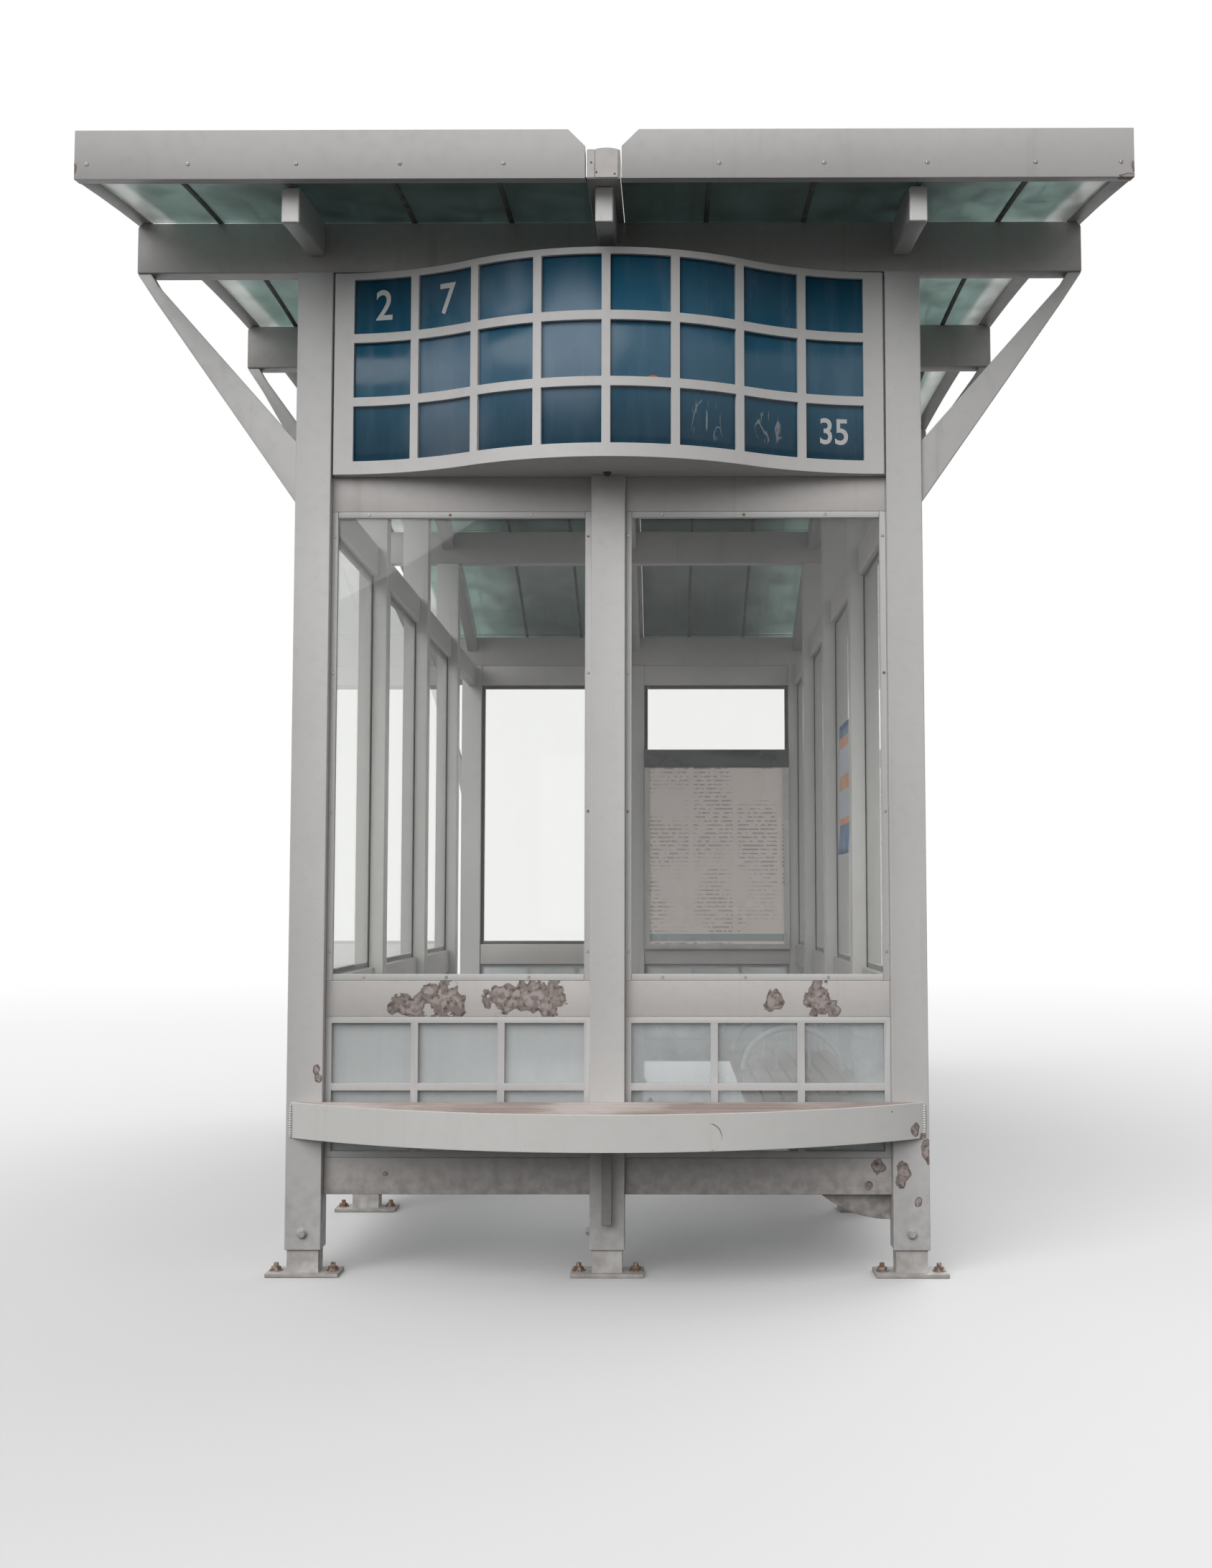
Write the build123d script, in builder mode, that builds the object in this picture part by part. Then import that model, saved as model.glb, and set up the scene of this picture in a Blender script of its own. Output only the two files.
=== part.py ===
from build123d import *
import math
import os

# Bus shelter: a steel and glass street shelter with an arched roof.
# Five frames of posts stand in a row along Y. Each frame carries a cross beam with two
# sloping braces, and the beams carry curved purlins and an arched glass roof. The arch is
# highest behind the front frame and comes down to the back, where the last beam lies on
# the header of the back wall, and the roof narrows towards the back. The front wall has a
# bowed sign above its windows, and both end walls have a bowed bench outside.
# X runs across the shelter, Y along it from front to back, and Z up from the ground.

os.makedirs("parts", exist_ok=True)

# Frames and posts
width_over_posts = 1800
bay_length = 980
bay_count = 4
post_width = 102
post_depth = 76
post_wall = 6.5
centre_post_width = 98

# Adjustable feet: an inner tube slides in the post and stands on a base plate
foot_height = 72
foot_clearance = 0.3
foot_insert = 90
foot_wall = 5
base_plate_length = 203
base_plate_depth = 100
base_plate_thickness = 10
anchor_spacing = 160
anchor_hole_radius = 8

# Cross beams and braces
roof_z_at_front_beam = 3015
beam_height = 149
beam_depth = 60
beam_wall = 5
beam_end_setback = 6
beam_corner_notch = 12
brace_depth = 50
brace_post_top = 499
brace_post_bottom = 678
brace_tip_width = 40
brace_knee_drop = 82
brace_knee_in = 54
brace_inner_knee_drop = 35
brace_inner_knee_in = 61

# Roof
crown_from_front_beam = 780
back_beam_seat = 0.3
roof_overhang = 410
roof_front_half_width = 1411
roof_back_half_width = 1048
roof_bar_pitch = 283
roof_bar_count = 4
roof_pane_min_width = 60
roof_bar_joint = 1
roof_bar_width = 14
roof_bar_height = 6
roof_glass_thickness = 10
roof_glass_joint = 4
purlin_width = 51
purlin_height = 100
purlin_end_gap = 30
fascia_height = 135
fascia_depth = 48
fascia_sheet = 4
fascia_chamfer = 46
side_flange = 48
gutter_gap = 97
gutter_width = 88
gutter_height = 80
gutter_wall = 4

# Wall rails, frames and glass
rail_height = 102
rail_depth = 40
rail_wall = 4
rail_recess = 28
bottom_rail_z = 221
mid_rail_z = 716
header_z = 2163
glazing_member = 18
glazing_depth = 16
muntin_width = 21
stop_joint = 0.5
glass_thickness = 6
pane_columns = 3
pane_rows = 2

# Bowed sign over the front wall
sign_side_gap = 6
sign_bulge = 198
sign_height = 593
sign_panel = 12
sign_sheet = 4
sign_cell_backing = 5
sign_cell_clearance = 1
cell_columns = 8
cell_rows = 3
cell_width = 170
cell_height = 160
cell_gap_x = 25
cell_gap_z = 27
cell_bottom_margin = 39

# Benches
seat_height = 481
apron_height = 100
apron_thickness = 8
bench_end_inset = 13
bench_bulge = 280
slat_width = 38
slat_gap = 8
slat_thickness = 25
slat_edge_gap = 1
slat_ledge_width = 25
slat_ledge_thickness = 4
bench_bracket_width = 28
bench_bracket_depth = 40
bench_bracket_bottom = 148
bench_arm_height = 50

inner_slat_width = 46
inner_slat_gap = 10
inner_slat_count = 7
inner_bench_wall_gap = 21
inner_bench_length = 1490
inner_bench_clear = 70
inner_bearer_size = 30
inner_bracket_radius = 310
inner_bracket_thickness = 8
hoop_radius = 10
hoop_rise = 140
hoop_half_width = 165
hoop_upright_radius = 6
hoop_upright_spacing = 110

# Notice board on the inside of the back wall
board_lap = 25
board_side_gap = 1
board_height = 1030
board_depth = 30
board_border = 28
board_header = 94
board_recess = 10

# Places worked out from the sizes above
frame_ys = [(i - bay_count / 2) * bay_length for i in range(bay_count + 1)]
half_length = bay_count * bay_length / 2
end_face = half_length + post_depth / 2
post_x = width_over_posts / 2 - post_width / 2
post_inner_x = width_over_posts / 2 - post_width
roof_end = end_face + roof_overhang
header_top = header_z + rail_height
sign_half_width = post_inner_x - sign_side_gap
sign_back_depth = rail_recess + rail_depth
bench_half_chord = width_over_posts / 2 - bench_end_inset

# The arch is part of a circle. Its crown's place is given, and its radius and height follow
# from two points: the middle of the front beam, and the back beam's outer top edge, which
# is as high as the header below lets it be.
crown_y = crown_from_front_beam - half_length
back_run = half_length + beam_depth / 2 - crown_y
back_seat_z = header_top + back_beam_seat + beam_height
arch_fall = roof_z_at_front_beam - back_seat_z
run_squares = back_run**2 - crown_from_front_beam**2
front_centre_drop = (run_squares / arch_fall + arch_fall) / 2
roof_radius = math.hypot(front_centre_drop, crown_from_front_beam)
crown_z = roof_z_at_front_beam + roof_radius - front_centre_drop


def arch_z(y):
    """Height of the underside of the roof glass bars at a place along the shelter."""
    return crown_z - roof_radius + math.sqrt(roof_radius**2 - (y - crown_y) ** 2)


def roof_half_width(y):
    """Half the roof's width, which shrinks evenly from the front end to the back end."""
    share = (y + roof_end) / (2 * roof_end)
    return roof_front_half_width + share * (roof_back_half_width - roof_front_half_width)


def at_end(shape, direction):
    """The shape as built for the back end, or its mirror image for the front end."""
    return shape if direction > 0 else mirror(shape, about=Plane.XZ)


def beam_top(y):
    """Top of a cross beam, level with the arch at the lower edge of the beam."""
    return min(arch_z(y - beam_depth / 2), arch_z(y + beam_depth / 2))


def beam_half_length(y):
    """Half a cross beam's length, which follows the roof's edge."""
    return roof_half_width(y) - beam_end_setback


def save(part, name):
    part.part.label = name
    export_step(part.part, f"parts/{name}.step")


# Posts: square tubes, open at the foot where the inner tube slides in
def add_post(x, y, top, width):
    with Locations((x, y, foot_height)):
        Box(width, post_depth, top - foot_height, align=(Align.CENTER, Align.CENTER, Align.MIN))
    with Locations((x, y, foot_height)):
        Box(
            width - 2 * post_wall,
            post_depth - 2 * post_wall,
            top - foot_height - post_wall,
            align=(Align.CENTER, Align.CENTER, Align.MIN),
            mode=Mode.SUBTRACT,
        )


for side, name in ((-1, "left_posts"), (1, "right_posts")):
    with BuildPart() as posts:
        for y in frame_ys:
            add_post(side * post_x, y, beam_top(y) - beam_height, post_width)
    save(posts, name)

with BuildPart() as centre_posts:
    for y in (frame_ys[0], frame_ys[-1]):
        add_post(0, y, header_top, centre_post_width)
save(centre_posts, "centre_posts")


# Feet: the sliding inner tube, welded to its base plate
def add_foot(x, y, width_of_post):
    sleeve = 2 * (post_wall + foot_clearance)
    with Locations((x, y, 0)):
        Box(
            base_plate_length,
            base_plate_depth,
            base_plate_thickness,
            align=(Align.CENTER, Align.CENTER, Align.MIN),
        )
        Box(
            width_of_post - sleeve,
            post_depth - sleeve,
            foot_height + foot_insert,
            align=(Align.CENTER, Align.CENTER, Align.MIN),
        )
    bore = sleeve + 2 * foot_wall
    with Locations((x, y, base_plate_thickness)):
        Box(
            width_of_post - bore,
            post_depth - bore,
            foot_height + foot_insert,
            align=(Align.CENTER, Align.CENTER, Align.MIN),
            mode=Mode.SUBTRACT,
        )
    with Locations((x - anchor_spacing / 2, y, 0), (x + anchor_spacing / 2, y, 0)):
        Cylinder(
            anchor_hole_radius,
            3 * base_plate_thickness,
            mode=Mode.SUBTRACT,
        )


for side, name in ((-1, "left_feet"), (1, "right_feet")):
    with BuildPart() as feet:
        for y in frame_ys:
            add_foot(side * post_x, y, post_width)
    save(feet, name)

with BuildPart() as centre_feet:
    for y in (frame_ys[0], frame_ys[-1]):
        add_foot(0, y, centre_post_width)
save(centre_feet, "centre_feet")

# Cross beams: one hollow tube over each pair of posts
for i, y in enumerate(frame_ys):
    half = beam_half_length(y)
    top = beam_top(y)
    with BuildPart() as beam:
        with BuildSketch(Plane.XZ.offset(-y - beam_depth / 2)):
            with Locations((0, top - beam_height / 2)):
                Rectangle(2 * half, beam_height)
            chamfer(vertices().group_by(Axis.Y)[-1], length=beam_corner_notch)
        extrude(amount=beam_depth)
        with Locations((0, y, top - beam_height / 2)):
            Box(
                2 * half - 2 * beam_corner_notch,
                beam_depth - 2 * beam_wall,
                beam_height - 2 * beam_wall,
                mode=Mode.SUBTRACT,
            )
    save(beam, f"cross_beam_{i + 1}")

# Braces: tapered plates, wide at the post and narrow at the beam's end
with BuildPart() as braces:
    for y in frame_ys:
        half = beam_half_length(y)
        bottom = beam_top(y) - beam_height
        post_face = width_over_posts / 2
        for side in (-1, 1):
            with BuildSketch(Plane.XZ.offset(-y - brace_depth / 2)):
                with BuildLine():
                    Polyline(
                        (side * half, bottom),
                        (side * (half - brace_knee_in), bottom - brace_knee_drop),
                        (side * post_face, bottom - brace_post_bottom),
                        (side * post_face, bottom - brace_post_top),
                        (side * (half - brace_inner_knee_in), bottom - brace_inner_knee_drop),
                        (side * (half - brace_tip_width), bottom),
                        close=True,
                    )
                make_face()
            extrude(amount=brace_depth)
save(braces, "braces")


# Roof: bands that follow the arch, cut to the tapered plan
def arch_band(x, low, high, y_end):
    """Sketch a band of the arch, between two heights above it, in the plane at x."""
    ys = (-y_end, crown_y, y_end)
    with BuildSketch(Plane.YZ.offset(x)) as band:
        with BuildLine():
            bottom = ThreePointArc(*[(y, arch_z(y) + low) for y in ys])
            top = ThreePointArc(*[(y, arch_z(y) + high) for y in ys])
            Line(bottom @ 0, top @ 0)
            Line(bottom @ 1, top @ 1)
        make_face()
    return band.sketch


def plan_strip(x_inner, inset, y_end):
    """Sketch the plan of one side of the roof, from x_inner out to its sloping edge."""
    with BuildSketch(Plane.XY) as strip:
        with BuildLine():
            Polyline(
                (x_inner, -y_end),
                (roof_half_width(-y_end) - inset, -y_end),
                (roof_half_width(y_end) - inset, y_end),
                (x_inner, y_end),
                close=True,
            )
        make_face()
    return strip.sketch


with BuildPart() as purlins:
    purlin_end = roof_end - fascia_depth - purlin_end_gap
    for x in (-post_x, 0, post_x):
        extrude(arch_band(x - purlin_width / 2, -purlin_height, 0, purlin_end), amount=purlin_width)
    for y in frame_ys:
        with Locations((0, y, crown_z)):
            Box(2 * width_over_posts, beam_depth, crown_z, mode=Mode.SUBTRACT)
save(purlins, "purlins")


def cut_at_beams(gap):
    """Open a joint across the roof over the middle of each cross beam."""
    for y in frame_ys:
        with Locations((0, y, crown_z)):
            Box(2 * roof_front_half_width, gap, crown_z, mode=Mode.SUBTRACT)


def bar_back(x):
    """Where a roof bar ends: the last joint at which the pane outside it is wide enough."""
    joints = [y for y in (*frame_ys, roof_end) if roof_half_width(y) - x >= roof_pane_min_width]
    return joints[-1]


bar_xs = [(n + 1) * roof_bar_pitch for n in range(roof_bar_count)]
bar_end = roof_end - fascia_depth
with BuildPart() as roof_bars:
    for x in bar_xs:
        for place in (x, -x):
            extrude(
                arch_band(place - roof_bar_width / 2, 0, roof_bar_height, bar_end),
                amount=roof_bar_width,
            )
            with Locations((place, bar_back(x), crown_z)):
                Box(
                    roof_bar_width,
                    2 * roof_end,
                    crown_z,
                    align=(Align.CENTER, Align.MIN, Align.CENTER),
                    mode=Mode.SUBTRACT,
                )
    cut_at_beams(roof_bar_joint)
save(roof_bars, "roof_bars")

with BuildPart() as roof_glass_right:
    glass_top = roof_bar_height + roof_glass_thickness
    extrude(arch_band(0, roof_bar_height, glass_top, bar_end), amount=roof_front_half_width)
    extrude(
        plan_strip((gutter_width + roof_glass_joint) / 2, fascia_sheet, bar_end),
        amount=2 * crown_z,
        mode=Mode.INTERSECT,
    )
    for x in bar_xs:
        with Locations((x, bar_back(x), crown_z)):
            Box(
                roof_glass_joint,
                2 * roof_end,
                crown_z,
                align=(Align.CENTER, Align.MAX, Align.CENTER),
                mode=Mode.SUBTRACT,
            )
    cut_at_beams(roof_glass_joint)
save(roof_glass_right, "roof_glass_right")

left_glass = mirror(roof_glass_right.part, about=Plane.YZ)
with BuildPart() as roof_glass_left:
    add(left_glass)
save(roof_glass_left, "roof_glass_left")

# Side fascias: deep sheets that follow the arch and slope in plan, with a bottom flange
side_end = roof_end - fascia_depth


def side_strip(inset, height):
    """The strip of roof edge from the sloping edge in to an inset, up to a height."""
    with BuildPart() as strip:
        extrude(plan_strip(0, 0, side_end), amount=2 * crown_z)
        extrude(plan_strip(-inset, inset, side_end + inset), amount=2 * crown_z, mode=Mode.SUBTRACT)
        extrude(
            arch_band(0, 0, height, side_end), amount=roof_front_half_width, mode=Mode.INTERSECT
        )
    return strip.part


sheet = side_strip(fascia_sheet, fascia_height)
flange = side_strip(side_flange, fascia_sheet)
with BuildPart() as right_fascia:
    add(sheet)
    add(flange)
save(right_fascia, "right_fascia")
left_sheet = mirror(right_fascia.part, about=Plane.YZ)
with BuildPart() as left_fascia:
    add(left_sheet)
save(left_fascia, "left_fascia")


# End fascias: two folded sheets, open at the back, with a gap at the gutter and a chamfered
# corner beside it. Their folds follow the arch.
def end_fascia(name, direction):
    z = arch_z(direction * roof_end)
    outer = roof_half_width(direction * roof_end)
    fold = Vector(0, -fascia_depth, arch_z(direction * side_end) - z)
    with BuildPart() as fascia:
        for side in (-1, 1):
            with BuildSketch(Plane.XZ.offset(-roof_end)) as outline:
                with BuildLine():
                    Polyline(
                        (side * gutter_gap / 2, z),
                        (side * outer, z),
                        (side * outer, z + fascia_height),
                        (side * (gutter_gap / 2 + fascia_chamfer), z + fascia_height),
                        (side * gutter_gap / 2, z + fascia_height - fascia_chamfer),
                        close=True,
                    )
                make_face()
            extrude(amount=fold.length, dir=fold)
            sheet_share = fascia_sheet / fascia_depth
            with BuildSketch(Plane.XZ.offset(fascia_sheet - roof_end)):
                with Locations((0, sheet_share * fold.Z)):
                    add(outline.sketch_local)
                offset(amount=-fascia_sheet, kind=Kind.INTERSECTION)
            extrude(amount=fold.length, dir=fold, mode=Mode.SUBTRACT)
    placed = at_end(fascia.part, direction)
    with BuildPart() as end_piece:
        add(placed)
    save(end_piece, name)


end_fascia("front_fascia", -1)
end_fascia("back_fascia", 1)

# Centre gutter: an open trough along the crown with closed ends
with BuildPart() as gutter:
    extrude(arch_band(-gutter_width / 2, 0, gutter_height, roof_end), amount=gutter_width)
    extrude(
        arch_band(
            -gutter_width / 2 + gutter_wall,
            gutter_wall,
            2 * gutter_height,
            roof_end - gutter_wall,
        ),
        amount=gutter_width - 2 * gutter_wall,
        mode=Mode.SUBTRACT,
    )
save(gutter, "gutter")

# Rails of the end walls and side walls
rail_zs = (bottom_rail_z, mid_rail_z, header_z)
half_bay_from = centre_post_width / 2
half_bay_to = post_inner_x
half_bay_mid = (half_bay_from + half_bay_to) / 2
half_bay_width = half_bay_to - half_bay_from
rail_y = end_face - rail_recess - rail_depth / 2
side_bay_width = bay_length - post_depth


def end_rails(name, direction):
    with BuildPart() as rails:
        for z in rail_zs:
            for side in (-1, 1):
                with Locations((side * half_bay_mid, direction * rail_y, z)):
                    Box(
                        half_bay_width,
                        rail_depth,
                        rail_height,
                        align=(Align.CENTER, Align.CENTER, Align.MIN),
                    )
                with Locations((side * half_bay_mid, direction * rail_y, z + rail_wall)):
                    Box(
                        half_bay_width,
                        rail_depth - 2 * rail_wall,
                        rail_height - 2 * rail_wall,
                        align=(Align.CENTER, Align.CENTER, Align.MIN),
                        mode=Mode.SUBTRACT,
                    )
    save(rails, name)


end_rails("front_rails", -1)
end_rails("back_rails", 1)


def side_rails(name, side, door_bays):
    with BuildPart() as rails:
        for bay in range(bay_count):
            y = frame_ys[bay] + bay_length / 2
            for z in rail_zs:
                if bay in door_bays and z != header_z:
                    continue
                with Locations((side * post_x, y, z)):
                    Box(
                        rail_depth,
                        side_bay_width,
                        rail_height,
                        align=(Align.CENTER, Align.CENTER, Align.MIN),
                    )
                with Locations((side * post_x, y, z + rail_wall)):
                    Box(
                        rail_depth - 2 * rail_wall,
                        side_bay_width,
                        rail_height - 2 * rail_wall,
                        align=(Align.CENTER, Align.CENTER, Align.MIN),
                        mode=Mode.SUBTRACT,
                    )
    save(rails, name)


door_bay = bay_count - 1
side_rails("left_rails", -1, (door_bay,))
side_rails("right_rails", 1, ())

# Glazing frames: four strips round each upper pane and a grid of small panes below
upper_low = mid_rail_z + rail_height
upper_high = header_z
lower_low = bottom_rail_z + rail_height
lower_high = mid_rail_z


def pane_stops(centre, width):
    """Sketch four strips round an upper pane: full uprights, and the others between them."""
    middle = (upper_low + upper_high) / 2
    height = upper_high - upper_low
    for side in (-1, 1):
        with Locations((centre + side * (width - glazing_member) / 2, middle)):
            Rectangle(glazing_member, height)
        with Locations((centre, middle + side * (height - glazing_member) / 2)):
            Rectangle(width - 2 * (glazing_member + stop_joint), glazing_member)


def pane_grid(centre, width):
    """Sketch a frame with a grid of small openings below the middle rail."""
    middle = (lower_low + lower_high) / 2
    height = lower_high - lower_low
    with Locations((centre, middle)):
        Rectangle(width, height)
    clear_w = (width - 2 * glazing_member - (pane_columns - 1) * muntin_width) / pane_columns
    clear_h = (height - 2 * glazing_member - (pane_rows - 1) * muntin_width) / pane_rows
    with Locations((centre, middle)):
        with GridLocations(
            clear_w + muntin_width, clear_h + muntin_width, pane_columns, pane_rows
        ):
            Rectangle(clear_w, clear_h, mode=Mode.SUBTRACT)


frame_face = end_face - rail_recess


def end_glazing(name, direction):
    with BuildPart() as frames:
        for side in (-1, 1):
            with BuildSketch(Plane.XZ.offset(-frame_face)):
                pane_stops(side * half_bay_mid, half_bay_width)
                pane_grid(side * half_bay_mid, half_bay_width)
            extrude(amount=glazing_depth)
    placed = at_end(frames.part, direction)
    with BuildPart() as end_piece:
        add(placed)
    save(end_piece, name)


end_glazing("front_glazing_frames", -1)
end_glazing("back_glazing_frames", 1)


def side_glazing(name, side, bays):
    face = post_x + rail_depth / 2
    with BuildPart() as frames:
        for bay in bays:
            y = frame_ys[bay] + bay_length / 2
            with BuildSketch(Plane.YZ.offset(side * face - (glazing_depth if side > 0 else 0))):
                pane_stops(y, side_bay_width)
                pane_grid(y, side_bay_width)
            extrude(amount=glazing_depth)
    save(frames, name)


left_bays = [bay for bay in range(bay_count) if bay != door_bay]
right_bays = list(range(bay_count))
side_glazing("left_glazing_frames", -1, left_bays)
side_glazing("right_glazing_frames", 1, right_bays)


# Glass sheets behind the glazing frames
def end_glass(name, direction, low, high):
    y = direction * (frame_face - glazing_depth - glass_thickness / 2)
    with BuildPart() as glass:
        for side in (-1, 1):
            with Locations((side * half_bay_mid, y, (low + high) / 2)):
                Box(half_bay_width, glass_thickness, high - low)
    save(glass, name)


def side_glass(name, side, bays, low, high):
    x = side * (post_x + rail_depth / 2 - glazing_depth - glass_thickness / 2)
    with BuildPart() as glass:
        for bay in bays:
            with Locations((x, frame_ys[bay] + bay_length / 2, (low + high) / 2)):
                Box(glass_thickness, side_bay_width, high - low)
    save(glass, name)


end_glass("front_upper_glass", -1, upper_low, upper_high)
end_glass("back_upper_glass", 1, upper_low, upper_high)
end_glass("front_lower_glass", -1, lower_low, lower_high)
end_glass("back_lower_glass", 1, lower_low, lower_high)
side_glass("left_upper_glass", -1, left_bays, upper_low, upper_high)
side_glass("right_upper_glass", 1, right_bays, upper_low, upper_high)
side_glass("left_lower_glass", -1, left_bays, lower_low, lower_high)
side_glass("right_lower_glass", 1, right_bays, lower_low, lower_high)

# Sign: a hollow case whose face bows out in four tangent arcs, with a grid of openings
bow_radius = (sign_half_width**2 + sign_bulge**2) / (4 * sign_bulge)
bow_angle = math.degrees(math.asin(sign_half_width / 2 / bow_radius))


def bow_point(angle_from_end, depth):
    """Point of the left half of the bowed face, by the angle turned from its end.

    The first arc turns about a centre in front of the sign's end and the second about a
    centre behind its middle. Depth is measured back from the face.
    """
    if angle_from_end <= bow_angle:
        turn = math.radians(angle_from_end)
        r = bow_radius + depth
        return (-sign_half_width + r * math.sin(turn), bow_radius - r * math.cos(turn))
    turn = math.radians(2 * bow_angle - angle_from_end)
    r = bow_radius - depth
    return (-r * math.sin(turn), sign_bulge - bow_radius + r * math.cos(turn))


def bow_line(depth):
    """Four tangent arcs of the bowed face, moved back by depth."""
    points = [bow_point(bow_angle * k / 2, depth) for k in range(5)]
    arcs = [ThreePointArc(points[0], points[1], points[2])]
    right = [(-x, y) for x, y in reversed(points[:3])]
    middle = bow_point(2 * bow_angle, depth)
    arcs.append(ThreePointArc(points[2], middle, right[0]))
    arcs.append(ThreePointArc(*right))
    return arcs


sign_bottom = header_top
arc_length = 4 * math.radians(bow_angle) * bow_radius


def cell_places():
    """Centre angle from the left end for each cell column, by length along the arcs."""
    pitch = cell_width + cell_gap_x
    for column in range(cell_columns):
        run = arc_length / 2 + (column - (cell_columns - 1) / 2) * pitch
        yield math.degrees(run / bow_radius)


def face_frame(angle):
    """Place and heading of the bowed face at an angle from its left end."""
    if angle <= 2 * bow_angle:
        x, y = bow_point(angle, 0)
        turn = angle if angle <= bow_angle else 2 * bow_angle - angle
        return x, y, turn
    x, y, turn = face_frame(4 * bow_angle - angle)
    return -x, y, -turn


def sign_plan(depth, back):
    """Sketch the sign's plan, from a line behind its bowed face to a straight back."""
    with BuildSketch(Plane.XY) as plan:
        with BuildLine():
            face = bow_line(depth)
            Polyline(
                face[0] @ 0,
                (-sign_half_width, back),
                (sign_half_width, back),
                face[-1] @ 1,
            )
        make_face()
    return plan.sketch


def build_sign():
    with BuildPart() as case:
        extrude(sign_plan(0, -sign_back_depth), amount=sign_height)
        with BuildSketch(Plane.XY.offset(sign_sheet)):
            add(sign_plan(sign_panel, sign_sheet - sign_back_depth))
            Rectangle(
                2 * (sign_half_width - sign_sheet), 4 * sign_bulge, mode=Mode.INTERSECT
            )
        extrude(amount=sign_height - 2 * sign_sheet, mode=Mode.SUBTRACT)
        for angle in cell_places():
            x, y, turn = face_frame(angle)
            for row in range(cell_rows):
                z = cell_bottom_margin + cell_height / 2 + row * (cell_height + cell_gap_z)
                with Locations(Location((x, y, z), (0, 0, turn))):
                    Box(cell_width, 2 * sign_back_depth, cell_height, mode=Mode.SUBTRACT)
    return case


def build_sign_cells():
    """The coloured sheet that lies against the back of the bowed face."""
    with BuildPart() as cells:
        with BuildSketch(Plane.XY.offset(sign_sheet)):
            with BuildLine():
                face = bow_line(sign_panel)
                back = bow_line(sign_panel + sign_cell_backing)
                Line(face[0] @ 0, back[0] @ 0)
                Line(face[-1] @ 1, back[-1] @ 1)
            make_face()
            Rectangle(
                2 * (sign_half_width - sign_sheet - sign_cell_clearance),
                4 * sign_bulge,
                mode=Mode.INTERSECT,
            )
        extrude(amount=sign_height - 2 * sign_sheet)
    return cells


sign_place = Location((0, -end_face, sign_bottom))
for piece, name in ((build_sign(), "front_sign"), (build_sign_cells(), "front_sign_cells")):
    placed = at_end(piece.part, -1).moved(sign_place)
    with BuildPart() as sign:
        add(placed)
    save(sign, name)


# Bowed benches: a curved steel apron, slats cut to its curve, and a centre bracket
def apron_arc(inset):
    half = bench_half_chord - inset
    rise = bench_bulge - inset
    return ThreePointArc((-half, 0), (0, rise), (half, 0))


def build_bench():
    with BuildPart() as frame:
        with BuildSketch(Plane.XY.offset(seat_height - apron_height)):
            with BuildLine():
                outer = apron_arc(0)
                inner = apron_arc(apron_thickness)
                Line(outer @ 0, inner @ 0)
                Line(outer @ 1, inner @ 1)
            make_face()
        extrude(amount=apron_height)
        arm_top = seat_height - slat_thickness
        with BuildSketch(Plane.XY.offset(arm_top - slat_ledge_thickness)):
            with BuildLine():
                outer = apron_arc(apron_thickness)
                inner = apron_arc(apron_thickness + slat_ledge_width)
                Line(outer @ 0, inner @ 0)
                Line(outer @ 1, inner @ 1)
            make_face()
        extrude(amount=slat_ledge_thickness)
        with Locations((0, 0, bench_bracket_bottom)):
            Box(
                bench_bracket_width,
                bench_bracket_depth,
                arm_top - bench_bracket_bottom,
                align=(Align.CENTER, Align.MIN, Align.MIN),
            )
        with Locations((0, 0, arm_top - bench_arm_height)):
            Box(
                bench_bracket_width,
                bench_bulge - apron_thickness / 2,
                bench_arm_height,
                align=(Align.CENTER, Align.MIN, Align.MIN),
            )
    with BuildPart() as slats:
        pitch = slat_width + slat_gap
        count = int((bench_bulge - apron_thickness) // pitch)
        with BuildSketch(Plane.XY.offset(seat_height - slat_thickness)):
            with BuildLine():
                edge = apron_arc(apron_thickness + slat_edge_gap)
                Line(edge @ 0, edge @ 1)
            make_face()
            for k in range(count + 1):
                with Locations((0, (k + 1) * pitch - slat_gap / 2)):
                    Rectangle(2 * bench_half_chord, slat_gap, mode=Mode.SUBTRACT)
        extrude(amount=slat_thickness)
    return frame, slats


bench_frame, bench_slats = build_bench()
for end, direction in (("front", -1), ("back", 1)):
    for piece, what in ((bench_frame, "frame"), (bench_slats, "slats")):
        placed = at_end(piece.part, direction).moved(Location((0, direction * end_face, 0)))
        with BuildPart() as bench_piece:
            add(placed)
        save(bench_piece, f"{end}_bench_{what}")

# Inner bench along the right wall
inner_start = -half_length + post_depth / 2 + inner_bench_clear
inner_end = inner_start + inner_bench_length
inner_pitch = inner_slat_width + inner_slat_gap
inner_bench_depth = inner_slat_count * inner_pitch - inner_slat_gap
inner_bench_front = post_inner_x - inner_bench_wall_gap - inner_bench_depth
with BuildPart() as inner_slats:
    for k in range(inner_slat_count):
        x = inner_bench_front + k * inner_pitch
        with Locations((x, inner_start, seat_height - slat_thickness)):
            Box(
                inner_slat_width,
                inner_bench_length,
                slat_thickness,
                align=(Align.MIN, Align.MIN, Align.MIN),
            )
save(inner_slats, "inner_bench_slats")

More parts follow.
